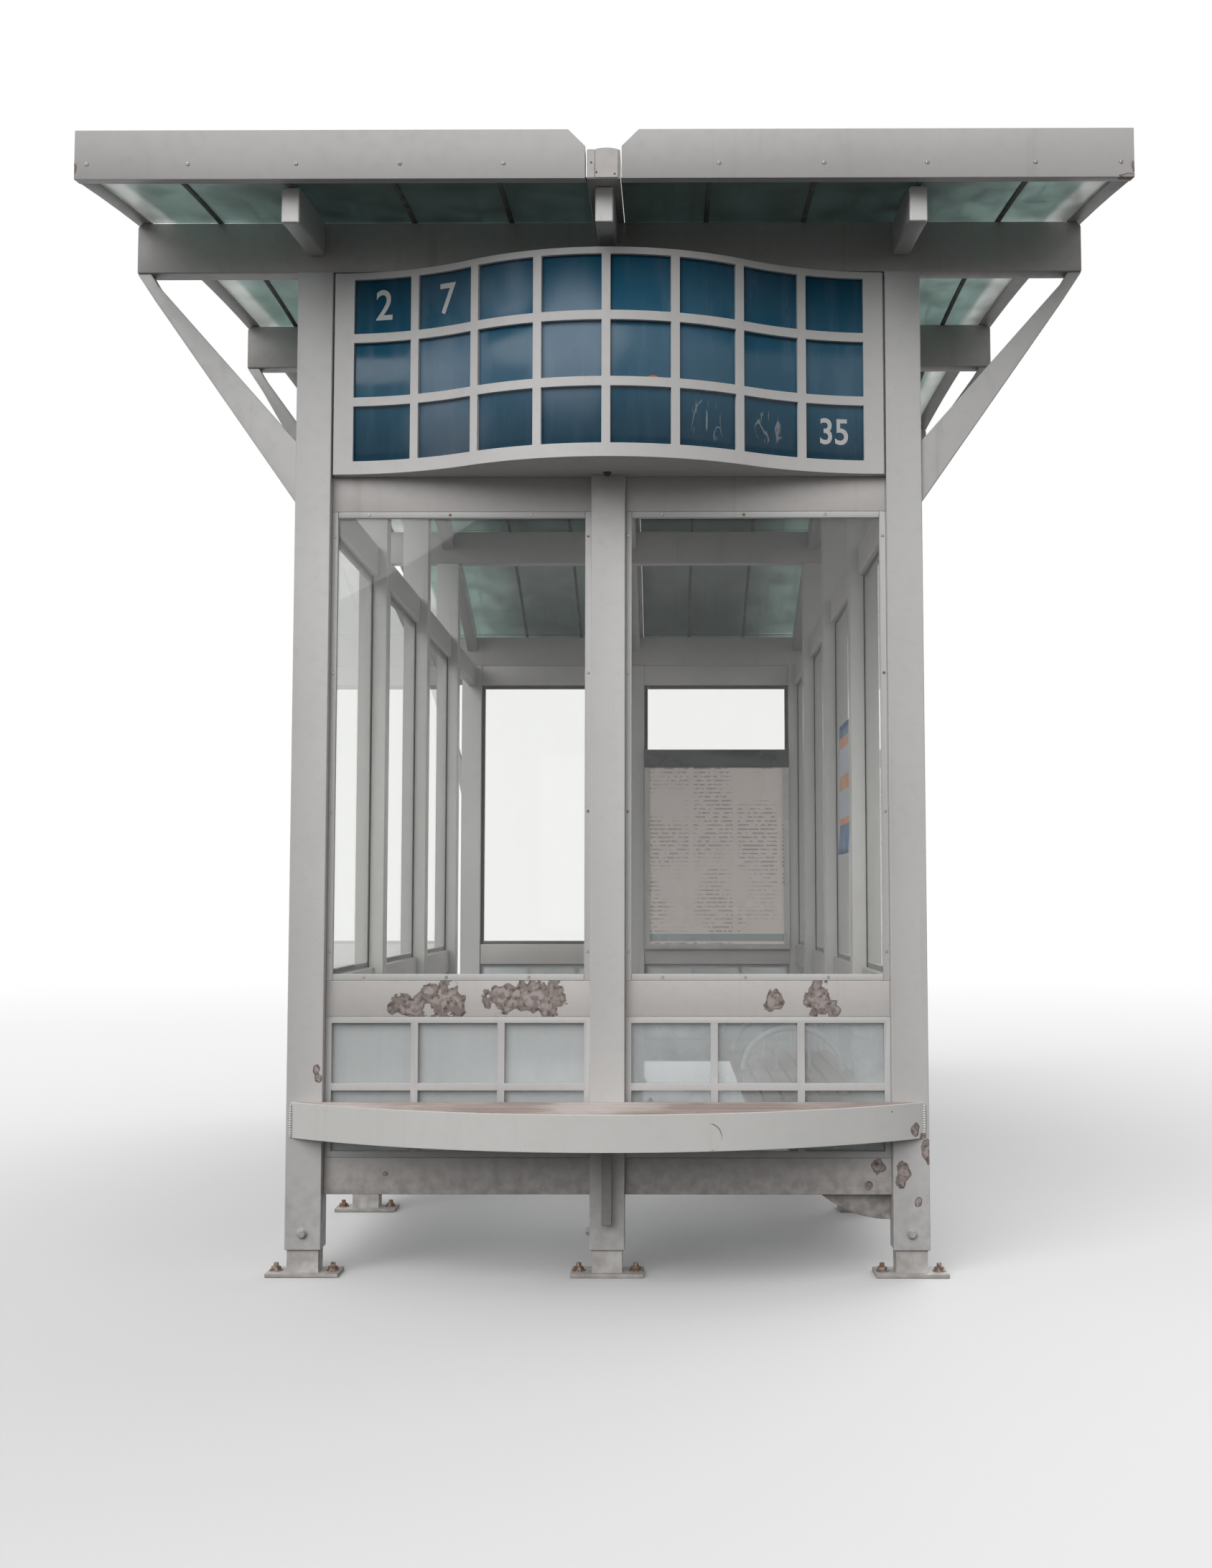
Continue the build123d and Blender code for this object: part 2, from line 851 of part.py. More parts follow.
# Its two bearers run under the slats and are carried by brackets fixed to the posts
inner_under = seat_height - slat_thickness
front_bearer_x = inner_bench_front + inner_bearer_size
with BuildPart() as inner_frame:
    for x in (front_bearer_x, post_inner_x - 2 * inner_bearer_size):
        with Locations((x, inner_start - inner_bench_clear, inner_under)):
            Box(
                inner_bearer_size,
                inner_bench_length + inner_bench_clear,
                inner_bearer_size,
                align=(Align.MIN, Align.MIN, Align.MAX),
            )
    for y in (frame_ys[0] + post_depth / 2 - inner_bracket_thickness, frame_ys[1]):
        with BuildSketch(Plane.XZ.offset(-y - inner_bracket_thickness)):
            with BuildLine():
                arc = CenterArc((post_inner_x, inner_under), inner_bracket_radius, 180, 90)
                Line(arc @ 0, (post_inner_x, inner_under))
                Line((post_inner_x, inner_under), arc @ 1)
            make_face()
            with Locations((post_inner_x, inner_under)):
                Rectangle(
                    post_inner_x - front_bearer_x,
                    inner_bearer_size,
                    align=(Align.MAX, Align.MAX),
                )
        extrude(amount=inner_bracket_thickness)
save(inner_frame, "inner_bench_frame")

# Arm hoops across the inner bench: one at its middle and one at its far end
hoop_x = inner_bench_front + inner_bench_depth / 2
with BuildPart() as hoops:
    for y in (inner_start + inner_bench_length / 2, inner_end - 2 * hoop_radius):
        with BuildLine(Plane.XZ.offset(-y)) as bow:
            EllipticalCenterArc(
                (hoop_x, seat_height), hoop_half_width, hoop_rise, start_angle=0, arc_size=180
            )
        with BuildSketch(Plane(origin=bow.line @ 0, z_dir=bow.line % 0)):
            Circle(hoop_radius)
        sweep(path=bow.line)
        for side in (-1, 1):
            offset_x = side * hoop_upright_spacing / 2
            height = hoop_rise * math.sqrt(1 - (offset_x / hoop_half_width) ** 2)
            with Locations((hoop_x + offset_x, y, seat_height)):
                Cylinder(
                    hoop_upright_radius, height, align=(Align.CENTER, Align.CENTER, Align.MIN)
                )
save(hoops, "arm_hoops")

# Notice board on the inside of the back wall: a case with a raised border and a deep header
board_y = rail_y - rail_depth / 2
board_bottom = upper_low - board_lap
board_width = half_bay_width - 2 * board_side_gap
with BuildPart() as board:
    with Locations((half_bay_mid, board_y, board_bottom)):
        Box(board_width, board_depth, board_height, align=(Align.CENTER, Align.MAX, Align.MIN))
    with Locations((half_bay_mid, board_y - board_depth, board_bottom + board_border)):
        Box(
            board_width - 2 * board_border,
            2 * board_recess,
            board_height - board_border - board_header,
            align=(Align.CENTER, Align.CENTER, Align.MIN),
            mode=Mode.SUBTRACT,
        )
save(board, "notice_board")
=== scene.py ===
import math

import bmesh
import bpy
import numpy as np
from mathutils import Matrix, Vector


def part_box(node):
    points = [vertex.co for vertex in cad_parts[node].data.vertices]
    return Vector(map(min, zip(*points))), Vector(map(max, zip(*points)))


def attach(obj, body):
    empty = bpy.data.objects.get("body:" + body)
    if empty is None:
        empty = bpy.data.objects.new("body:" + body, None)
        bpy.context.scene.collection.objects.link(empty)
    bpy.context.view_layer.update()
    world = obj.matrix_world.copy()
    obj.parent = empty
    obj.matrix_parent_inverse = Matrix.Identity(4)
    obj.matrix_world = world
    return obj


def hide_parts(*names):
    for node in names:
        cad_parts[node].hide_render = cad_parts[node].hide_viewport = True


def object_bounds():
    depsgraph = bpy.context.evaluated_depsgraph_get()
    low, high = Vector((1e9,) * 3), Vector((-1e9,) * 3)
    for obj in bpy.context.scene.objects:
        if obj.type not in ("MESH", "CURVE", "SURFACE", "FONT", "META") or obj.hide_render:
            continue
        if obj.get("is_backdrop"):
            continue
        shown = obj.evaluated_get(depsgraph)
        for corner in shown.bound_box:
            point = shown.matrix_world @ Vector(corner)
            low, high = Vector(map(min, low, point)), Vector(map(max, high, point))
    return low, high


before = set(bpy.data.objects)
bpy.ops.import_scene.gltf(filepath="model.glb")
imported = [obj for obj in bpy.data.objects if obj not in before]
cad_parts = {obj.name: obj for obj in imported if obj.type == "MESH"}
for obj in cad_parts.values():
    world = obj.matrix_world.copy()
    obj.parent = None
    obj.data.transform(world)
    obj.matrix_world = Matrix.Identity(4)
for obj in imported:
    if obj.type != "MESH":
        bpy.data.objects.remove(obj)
cad_low, cad_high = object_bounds()


# The camera stands before the end wall, a metre above the ground, and looks slightly up. Its
# place, lens and tilt were worked out from the end frame, the feet and the roof's edges.
image_width, image_height = 1688, 2184
film_width = 36
focal_pixels = 2329.4
axis_column = 917.1
camera_place = (0.1694, -6.7283, 1.0445)
camera_pitch, camera_roll, camera_yaw = 0.0694, 0.0003, 0.0054


def placed_object(name, data):
    """A new object in the scene, at its origin."""
    made = bpy.data.objects.new(name, data)
    bpy.context.scene.collection.objects.link(made)
    return made


camera_data = bpy.data.cameras.new("camera")
camera_data.sensor_width = film_width
camera_data.lens = film_width * focal_pixels / image_height
camera_data.shift_x = (image_width / 2 - axis_column) / image_height
camera = placed_object("camera", camera_data)
camera.location = camera_place
camera.rotation_euler = (math.pi / 2 + camera_pitch, camera_roll, camera_yaw)
bpy.context.scene.camera = camera
bpy.context.scene.view_settings.view_transform = "Standard"


# The studio: a dome of soft light that is brighter overhead, a broad lamp from the front
# left and a weaker one from behind, and a pale floor that fades into a white backdrop. The
# floor throws little light back up, so that undersides are dark.
dome_low, dome_high = 0.30, 0.95
dome_rise = (-0.1, 0.8)
lamp_spread = math.radians(55)
lamps = {
    "front_lamp": (2.1, (math.radians(56), 0, math.radians(-26))),
    "back_lamp": (1.3, (math.radians(55), 0, math.radians(150))),
}
floor_radius, floor_sides = 90, 96
floor_drop = 0.001
floor_fade = (5, 17)
floor_tone, floor_bounce = 0.62, 0.06
pure_white = (1, 1, 1, 1)


def wire(tree, kind, inputs=None, **settings):
    """Adds a shader node. Its inputs are given by socket name, each a plain value, an output,
    or a node, which stands for its first output."""
    made = tree.nodes.new("ShaderNode" + kind)
    for key, value in settings.items():
        setattr(made, key, value)
    for key, value in (inputs or {}).items():
        if isinstance(value, bpy.types.Node):
            value = value.outputs[0]
        if isinstance(value, bpy.types.NodeSocket):
            tree.links.new(value, made.inputs[key])
        else:
            made.inputs[key].default_value = value
    return made


def between(value, low, high):
    """0 below low, 1 above high, and a smooth step from one to the other between them."""
    inputs = {"Value": value, "From Min": low, "From Max": high}
    step = wire(value.id_data, "MapRange", inputs, interpolation_type="SMOOTHSTEP")
    return step.outputs["Result"]


def figure(operation, first, second=0.0):
    """One sum: the operation on two outputs, or on an output and a number."""
    tree = (second if isinstance(first, (int, float)) else first).id_data
    return wire(tree, "Math", {0: first, 1: second}, operation=operation).outputs[0]


def times(first, *others):
    """The product of an output and other outputs or numbers."""
    for other in others:
        first = figure("MULTIPLY", first, other)
    return first


def plus(first, *others):
    """The sum of an output and other outputs or numbers."""
    for other in others:
        first = figure("ADD", first, other)
    return first


def less(first, second):
    """The first less the second, one of them an output."""
    return figure("SUBTRACT", first, second)


def mixed(share, first, second):
    """A colour that goes from the first to the second as share goes from 0 to 1."""
    ends = [end if isinstance(end, bpy.types.NodeSocket) else (*end, 1) for end in (first, second)]
    inputs = {0: share, 6: ends[0], 7: ends[1]}
    return wire(share.id_data, "Mix", inputs, data_type="RGBA").outputs[2]


def axes_of(place):
    """The x, y and z of a place."""
    return wire(place.id_data, "SeparateXYZ", {0: place}).outputs


def length_of(place):
    """How far a place is from the origin."""
    return wire(place.id_data, "VectorMath", {0: place}, operation="LENGTH").outputs["Value"]


def seen_or_mirrored(tree):
    """1 for what the camera sees, itself, in a gloss or through glass, and 0 for light."""
    path = wire(tree, "LightPath").outputs
    sight = figure("MAXIMUM", path["Is Camera Ray"], path["Is Glossy Ray"])
    return figure("MAXIMUM", sight, path["Is Transmission Ray"])


world = bpy.data.worlds.new("studio")
bpy.context.scene.world = world
world.use_nodes = True
dome = world.node_tree
dome.nodes.clear()
height = axes_of(wire(dome, "TexCoord").outputs["Generated"])["Z"]
strength = plus(times(between(height, *dome_rise), dome_high - dome_low), dome_low)
soft_light = wire(dome, "Background", {"Color": pure_white, "Strength": strength})
white = wire(dome, "Background", {"Color": pure_white, "Strength": 1.0})
backdrop = wire(dome, "MixShader", {0: seen_or_mirrored(dome), 1: soft_light, 2: white})
wire(dome, "OutputWorld", {"Surface": backdrop})

for name, (energy, tilt) in lamps.items():
    lamp_data = bpy.data.lights.new(name, "SUN")
    lamp_data.energy = energy
    lamp_data.angle = lamp_spread
    placed_object(name, lamp_data).rotation_euler = tilt


def new_material(name):
    """An empty material, and its Object coordinates: metres in the shelter's frame."""
    material = bpy.data.materials.new(name)
    material.use_nodes = True
    material.node_tree.nodes.clear()
    return material, wire(material.node_tree, "TexCoord").outputs["Object"]


def make_floor():
    """A ring of points round the origin, filled as one face."""
    turn = np.linspace(0, 2 * np.pi, floor_sides, endpoint=False)
    ring = np.stack([np.cos(turn), np.sin(turn), 0 * turn], axis=1) * floor_radius
    ring[:, 2] = -floor_drop
    mesh = bpy.data.meshes.new("floor")
    mesh.from_pydata(ring.tolist(), [], [list(range(len(ring)))])
    floor = placed_object("floor", mesh)
    floor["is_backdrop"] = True
    material, where = new_material("pale_floor")
    tree = material.node_tree
    sight = seen_or_mirrored(tree)
    fade = times(between(length_of(where), *floor_fade), sight)
    tone = mixed(sight, [floor_bounce] * 3, [floor_tone] * 3)
    plain = wire(tree, "BsdfDiffuse", {"Color": tone})
    bright = wire(tree, "Emission", {"Color": pure_white, "Strength": 1.0})
    surface = wire(tree, "MixShader", {0: fade, 1: plain, 2: bright})
    wire(tree, "OutputMaterial", {"Surface": surface})
    mesh.materials.append(material)


make_floor()


# Posts: five square tubes a side and one in the middle of each end wall, of hot-rolled
# steel with rounded corners, under a warm grey satin paint that has weathered. Dirt runs
# down it, splashes cover its foot, and it is chipped where things knock against it.
post_corner = 0.006
bay_length = 0.98
grey_paint_tone = (0.475, 0.468, 0.460)
grime_tone = (0.13, 0.105, 0.085)
primer_tone = (0.330, 0.290, 0.275)
brown_steel = (0.200, 0.165, 0.150)
rust_tone = (0.085, 0.064, 0.055)
splash_height = 0.42
worn_edge = 0.004
grain_height = 0.0006
merge_distance, flat_angle = 1e-5, math.radians(0.2)
left_low, left_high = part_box("left_posts")
middle_low, middle_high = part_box("centre_posts")
post_x = -(left_low.x + left_high.x) / 2
post_inner_x = -left_high.x
post_ys = np.arange(-2, 3) * bay_length
post_depth = -2 * (middle_low.y - post_ys[0])
face_y = left_low.y


def noise(where, scale, detail=4.0, stretch=(1, 1, 1)):
    """Cloudy noise from 0 to 1; a stretch above 1 makes it finer along that axis."""
    spot = wire(where.id_data, "Mapping", {"Vector": where, "Scale": stretch})
    inputs = {"Vector": spot, "Scale": scale, "Detail": detail}
    return wire(where.id_data, "TexNoise", inputs).outputs["Fac"]


def near(where, spots):
    """1 at each spot (x, y, z, reach across, reach up), falling evenly to 0 at its edge, which
    is an ellipse, the largest kept."""
    total = 0.0
    for x, y, z, across, up in spots:
        inputs = {"Vector": where, "Location": (x, y, z), "Scale": (across, across, up)}
        shift = wire(where.id_data, "Mapping", inputs, vector_type="TEXTURE")
        total = figure("MAXIMUM", less(1.0, length_of(shift.outputs[0])), total)
    return total


def edge_share(tree, radius):
    """How much a rounding of that radius would turn the surface: 0 on a flat, near 1 at an edge."""
    rounded = wire(tree, "Bevel", {"Radius": radius}, samples=4)
    own = wire(tree, "NewGeometry").outputs["Normal"]
    likeness = wire(tree, "VectorMath", {0: rounded, 1: own}, operation="DOT_PRODUCT")
    return between(likeness.outputs["Value"], 0.99, 0.86)


def bump_of(height, strength, distance, **settings):
    """Relief by a height from 0 to 1."""
    inputs = {"Height": height, "Strength": strength, "Distance": distance}
    return wire(height.id_data, "Bump", inputs, **settings)


def coated(material, colour, roughness, bump=None, sockets=None):
    """Finishes a material with one shader, and with other sockets of it by name."""
    inputs = {"Base Color": colour, "Roughness": roughness, **(sockets or {})}
    if bump is not None:
        inputs["Normal"] = bump
    coat = wire(material.node_tree, "BsdfPrincipled", inputs)
    wire(material.node_tree, "OutputMaterial", {"Surface": coat})
    return material


def paint_coat(
    name, tone, soil=0.5, chips=(), wear=0.5, roughness=0.46, splash_and_shade_share=None, scuff=None
):
    """Satin paint on steel: cloudy tone, drips, splashes by the ground, peeled patches with
    mottled primer and brown steel in them, and worn edges. A scuff (x, y, z, radius) is a
    broken hairline along the right half of a circle."""
    material, where = new_material(name)
    x, _, z = axes_of(where)
    fine = noise(where, 34, 8)
    grit = noise(where, 210, 3)
    drips = noise(where, 1.0, 6, (23, 23, 0.9))
    ragged = noise(where, 70, 7)
    lighter, darker = [tuple(c * k for c in tone) for k in (1.03, 0.95)]
    splash = times(between(z, splash_height, 0.0), between(fine, 0.25, 0.70))
    colour = mixed(between(noise(where, 1.7, 3), 0.3, 0.7), darker, lighter)
    for dirt in (
        times(between(fine, 0.45, 0.80), 0.14 * soil),
        times(between(drips, 0.58, 0.82), 0.34 * soil),
        # A share above the soil darkens the foot further, as painted shade.
        times(splash, 0.55 * (soil if splash_and_shade_share is None else splash_and_shade_share)),
        times(between(grit, 0.71, 0.75), 0.45),
    ):
        colour = mixed(dirt, colour, grime_tone)
    bare = times(edge_share(material.node_tree, worn_edge), between(ragged, 0.50, 0.62), wear)
    colour = mixed(bare, colour, primer_tone)
    if chips:
        reach = near(where, chips)
        edge = plus(reach, times(noise(where, 26, 9), 1.9))
        peeled = times(between(edge, 1.22, 1.25), between(reach, 0, 0.04))
        pale = times(between(edge, 1.30, 1.62), between(noise(where, 60, 8), 0.40, 0.58))
        steel = mixed(between(ragged, 0.36, 0.54), rust_tone, brown_steel)
        colour = mixed(peeled, colour, mixed(pale, steel, primer_tone))
        bare = figure("MAXIMUM", bare, peeled)
    if scuff:
        *centre, radius = scuff
        far = less(1.0, near(where, [(*centre, 1.0, 1.0)]))
        ring = between(figure("ABSOLUTE", less(far, radius)), 0.0022, 0.0008)
        right_half = between(x, centre[0], centre[0] + radius / 3)
        colour = mixed(times(ring, right_half, between(fine, 0.38, 0.50)), colour, brown_steel)
    peel = bump_of(grit, 0.06, grain_height)
    dent = bump_of(bare, 0.6, grain_height, invert=True)
    material.node_tree.links.new(peel.outputs[0], dent.inputs["Normal"])
    gloss = plus(times(fine, 0.22), roughness - 0.1, times(bare, 0.3))
    return coated(material, colour, gloss, dent)


def dress(piece, material, slot, *nodes):
    """Gives a piece its finish, sets it on the root body, and hides the nodes that it stands in
    for.
    """
    piece.data.materials.clear()
    piece.data.materials.append(material)
    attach(piece, "root")
    if nodes:
        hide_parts(*nodes)
    return piece


def ease_edges(piece, width, segments=2):
    """Rounds the edges that turn by more than a third of a right angle."""
    bevel = piece.modifiers.new("eased_edges", "BEVEL")
    bevel.width = width
    bevel.segments = segments
    bevel.limit_method = "ANGLE"
    bevel.angle_limit = math.radians(30)
    bevel.harden_normals = True
    piece.data.shade_smooth()


def eased_copy(node, width, material, slot, segments=2):
    """A copy of a CAD node, its triangles merged into whole faces and its edges rounded."""
    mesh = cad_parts[node].data.copy()
    mesh.name = node + "_piece"
    work = bmesh.new()
    work.from_mesh(mesh)
    bmesh.ops.remove_doubles(work, verts=work.verts, dist=merge_distance)
    bmesh.ops.dissolve_limit(work, angle_limit=flat_angle, verts=work.verts, edges=work.edges)
    work.to_mesh(mesh)
    work.free()
    piece = placed_object(node + "_piece", mesh)
    ease_edges(piece, width, segments)
    return dress(piece, material, slot, node)


post_chips = [
    (0.823, -1.998, 0.286, 0.028, 0.046),
    (0.892, -1.998, 0.345, 0.022, 0.040),
    (0.868, -1.998, 0.205, 0.012, 0.016),
    (0.815, -1.998, 0.400, 0.012, 0.014),
    (-0.815, -1.998, 0.572, 0.014, 0.020),
    (-0.809, -1.998, 0.545, 0.014, 0.016),
]
post_paint = paint_coat("post_paint", grey_paint_tone, soil=0.5, chips=post_chips)
rows = ("left", "right", "centre")
for row in rows:
    eased_copy(f"{row}_posts", post_corner, post_paint, "grey_paint", 3)


# Feet: an inner tube that slides up into each post, welded to a base plate. A bolt through
# the post's front clamps the tube, and two anchors hold the plate down. The nuts have rusted.
foot_tone = (0.40, 0.385, 0.37)
zinc_tone = (0.30, 0.29, 0.285)
dark_rust, bright_rust = (0.085, 0.036, 0.018), (0.24, 0.105, 0.05)
bolt_height = 0.118
bolt_across, nut_across = 0.019, 0.024
washer_radius = 0.0155
anchor_offset = 0.080
plate_top = 0.010


def turned(profile, sides, radius=1.0):
    """A profile of (radius, height) points carried round the third axis and capped at its ends;
    its radii are metres, or shares of a radius."""
    r, h = np.array(profile, float).T * ((radius,), (1,))
    turn = np.linspace(0, 2 * np.pi, sides, endpoint=False)
    circle = np.stack([np.cos(turn), np.sin(turn), np.ones(sides)], axis=1)
    points = np.stack([r, r, h], axis=1)[:, None] * circle
    ring = np.arange(sides)
    ahead = (ring + 1) % sides
    start = (np.arange(len(r) - 1) * sides)[:, None]
    walls = np.stack([start + ring, start + ahead, start + ahead + sides, start + ring + sides], 2)
    caps = [ring[::-1].tolist(), (ring + (len(r) - 1) * sides).tolist()]
    return points.reshape(-1, 3), walls.reshape(-1, 4).tolist() + caps


def together(*shapes):
    """Several sets of points and faces as one."""
    points, faces, count = [], [], 0
    for own_points, own_faces in shapes:
        points.append(own_points)
        faces += [[i + count for i in face] for face in own_faces]
        count += len(own_points)
    return np.concatenate(points), faces


def stamped(shape, places):
    """Copies of a shape as one. Each has its third axis along its heading, which is one of the
    frame's axes, either way."""
    points, faces = shape
    copies = []
    for place, heading in places:
        third = np.array(heading, float)
        second = np.cross(third, (0, 1, 0) if third[0] else (1, 0, 0))
        axes = np.array([np.cross(second, third), second, third])
        copies.append((points @ axes + np.array(place), faces))
    return together(*copies)


def new_piece(name, shape, material, slot, nodes=(), smooth=True):
    """An object from points and faces, with its finish, set on the root body, and the nodes it
    stands in for hidden.
    """
    points, faces = shape
    mesh = bpy.data.meshes.new(name)
    mesh.from_pydata(points.tolist(), [], faces)
    mesh.validate()
    piece = placed_object(name, mesh)
    if smooth:
        mesh.shade_smooth()
        mesh.set_sharp_from_angle(angle=math.radians(35))
    return dress(piece, material, slot, *nodes)


def zinc_coat(name, rust_share):
    """Dull zinc with rust that has grown over a share of it."""
    material, where = new_material(name)
    bloom = noise(where, 90, 6)
    patch = between(bloom, 0.75 - 0.5 * rust_share, 0.85 - 0.5 * rust_share)
    colour = mixed(patch, zinc_tone, mixed(noise(where, 260, 4), dark_rust, bright_rust))
    metal = times(less(1.0, patch), 0.8)
    rough = plus(times(patch, 0.35), 0.45)
    return coated(material, colour, rough, bump_of(bloom, 0.4, 0.001), {"Metallic": metal})


foot_paint = paint_coat("foot_paint", foot_tone, soil=0.7, wear=0.8, roughness=0.55)
for row in rows:
    eased_copy(f"{row}_feet", 0.0015, foot_paint, "foot_paint")

washer = turned([(1, 0), (1, 0.00175), (0.93, 0.0025)], 24, washer_radius)
bolt = turned([(1, 0.0025), (1, 0.01015), (0.86, 0.0115)], 6, bolt_across / math.sqrt(3))
bolt_places = []
for end in (-1, 1):
    for x in (-post_x, post_x):
        bolt_places.append(((x, -end * face_y, bolt_height), (0, end, 0)))
    bolt_places.append(((end * middle_high.x, end * post_ys[-1], bolt_height), (end, 0, 0)))
for side in (-1, 1):
    for y in post_ys[1:-1]:
        bolt_places.append(((side * post_inner_x, y, bolt_height), (-side, 0, 0)))
clamp_paint = paint_coat("bolt_paint", foot_tone, soil=0.9, wear=1.0)
new_piece("clamp_bolts", stamped(together(washer, bolt), bolt_places), clamp_paint, "foot_paint")

nut_radius = nut_across / math.sqrt(3)
nut = turned([(0.88, 0), (1, 0.00144), (1, 0.01056), (0.86, 0.012)], 6, nut_radius)
stud = turned([(0.007, 0), (0.007, 0.021), (0.0056, 0.022)], 12)
under_nut = turned([(1.35, 0), (1.35, 0.002), (1.28, 0.0028)], 24, nut_radius)
anchor_places = [
    ((x + offset, y, plate_top), (0, 0, 1))
    for y in post_ys
    for x in (-post_x, 0, post_x)
    if x or abs(y) > bay_length
    for offset in (-anchor_offset, anchor_offset)
]
anchors = stamped(together(under_nut, nut, stud), anchor_places)
new_piece("anchor_nuts", anchors, zinc_coat("rusty_zinc", 0.62), "foot_paint")


# Cross beams and braces: a hollow beam over each pair of posts, and tapered props from the posts up
# to its ends, all painted as the posts are. The beams' paint is darker, which is painted shade for
# the shadow under the roof.
shaded_beam_tone = (0.35, 0.335, 0.325)
shaded_beam_paint = paint_coat("shaded_beam_paint", shaded_beam_tone, soil=0.8, wear=0.3)
for i in range(1, 6):
    eased_copy(f"cross_beam_{i}", 0.004, shaded_beam_paint, "grey_paint")
brace_paint = paint_coat("brace_paint", grey_paint_tone, soil=0.7, wear=0.3)
eased_copy("braces", 0.003, brace_paint, "grey_paint")


# Purlins: three tubes curved to the arch between the beams, with rounded corners, in a darker paint
# that is painted shade under the roof. Their ends are closed with plates whose paint is much paler,
# a painted highlight where light from the front falls.
shaded_purlin_tone, lit_purlin_end_tone = (0.36, 0.355, 0.35), (0.80, 0.79, 0.78)
end_turn, end_reach = 0.7, 2.3
shaded_purlin_paint = paint_coat("shaded_purlin_paint", shaded_purlin_tone, soil=0.6, wear=0.3)
lit_purlin_end_paint = paint_coat("lit_purlin_end_paint", lit_purlin_end_tone, soil=0.2, wear=0.3)
purlins = eased_copy("purlins", 0.007, shaded_purlin_paint, "grey_paint", 3)
purlins.data.materials.append(lit_purlin_end_paint)
# End faces that look along the length take the paler paint, a painted highlight.
for face in purlins.data.polygons:
    if abs(face.normal.y) > end_turn and abs(face.center.y) > end_reach:
        face.material_index = 1


# Roof bars: dark rubber strips that close the joints of the roof glass from below. They are
# extruded, and they have dulled and gathered dust.
rubber_tone, rubber_dust = (0.020, 0.024, 0.023), (0.22, 0.21, 0.19)


def rubber_coat(name):
    """Weathered rubber: dull, with pale dust in patches."""
    material, where = new_material(name)
    dust = times(between(noise(where, 24, 6), 0.45, 0.8), 0.35)
    bump = bump_of(noise(where, 300), 0.2, 0.0005)
    return coated(material, mixed(dust, rubber_tone, rubber_dust), 0.7, bump)


dark_rubber = rubber_coat("dark_rubber")
eased_copy("roof_bars", 0.001, dark_rubber, "dark_strip")


# Roof glass: laminated panes bent to the arch, tinted green and cloudy. The tint is painted shade,
# dark over the room and going to green outwards, and the right half is darker than the left. A pale
# band along the eaves is a painted reflection.
eaves_taper = 0.0755
shade_run, clear_run = 0.78, 1.26
cloud_reach = 0.12
eaves_run, eaves_blur = 1.305, 0.012
shade_glass_tint = (0.020, 0.032, 0.030)
green_glass = (0.185, 0.262, 0.240)
eaves_reflection_tint = (0.52, 0.55, 0.53)
roof_shade = (0.11, 0.15, 0.14)
# Painted light on the left half, painted shade on the right.
roof_side_light = {"left": 1.30, "right": 0.70}


def pane_coat(material, colour, shade, roughness, dirt, ior=1.45):
    """Glass that is opaque where it is dirty, and that lets light through in its shadow."""
    tree = material.node_tree
    inputs = {"Base Color": colour, "Roughness": roughness, "IOR": ior}
    inputs["Transmission Weight"] = less(1.0, dirt)
    pane = wire(tree, "BsdfPrincipled", inputs)
    clear = wire(tree, "BsdfTransparent", {"Color": (*shade, 1)})
    shadow = wire(tree, "LightPath").outputs["Is Shadow Ray"]
    surface = wire(tree, "MixShader", {0: shadow, 1: pane, 2: clear})
    wire(tree, "OutputMaterial", {"Surface": surface})
    return material


def roof_glass_coat(name, side_light):
    """Tint by the distance from the middle, brought back to the front edge's width: dark, then
    green, then nearly clear, under a film of dust with runs in it. The dark is painted shade and
    the nearly clear band a painted reflection. The last argument scales the tints: painted light
    for the left half, painted shade for the right."""
    material, where = new_material(name)
    shade_tint, green, pale = [
        tuple(c * side_light for c in tint) for tint in (shade_glass_tint, green_glass, eaves_reflection_tint)
    ]
    x, y, _ = axes_of(where)
    run = plus(figure("ABSOLUTE", x), times(less(y, cad_low.y), eaves_taper))
    cloudy_run = plus(run, times(noise(where, 4, 5), 2 * cloud_reach))
    greenness = between(cloudy_run, shade_run + cloud_reach, clear_run + cloud_reach)
    eaves_reflection = between(run, eaves_run - eaves_blur, eaves_run + eaves_blur)
    colour = mixed(eaves_reflection, mixed(greenness, shade_tint, green), pale)
    film = between(noise(where, 9, 7), 0.35, 0.75)
    runs = between(noise(where, 1.0, 5, (40, 1.6, 1.6)), 0.45, 0.8)
    return pane_coat(material, colour, roof_shade, 0.30, times(figure("MAXIMUM", film, runs), 0.30))


def finish_node(node, material):
    """Gives a CAD node that stays its finish."""
    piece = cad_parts[node]
    piece.data.materials.clear()
    piece.data.materials.append(material)


for side, side_light in roof_side_light.items():
    roof_glass = roof_glass_coat(f"{side}_roof_glass", side_light)
    finish_node(f"roof_glass_{side}", roof_glass)


# Fascias: folded sheet steel round the roof, with a flange under the glass along the sides
# and small round-headed screws along the two end sheets.
fascia_chips = [
    (-1.411, -2.400, 2.995, 0.012, 0.034),
    (1.400, -2.400, 2.962, 0.040, 0.010),
    (1.409, -2.400, 2.992, 0.010, 0.030),
]
fascia_fold = 0.048
screw_height = 0.0030
screw_rise = 0.042
screw_xs = (-1.3775, -1.1075, -0.8185, -0.542, -0.266, 0.308, 0.587, 0.8615, 1.149, 1.3755)
fascia_paint = paint_coat("fascia_paint", (0.375, 0.365, 0.36), soil=0.4, chips=fascia_chips)


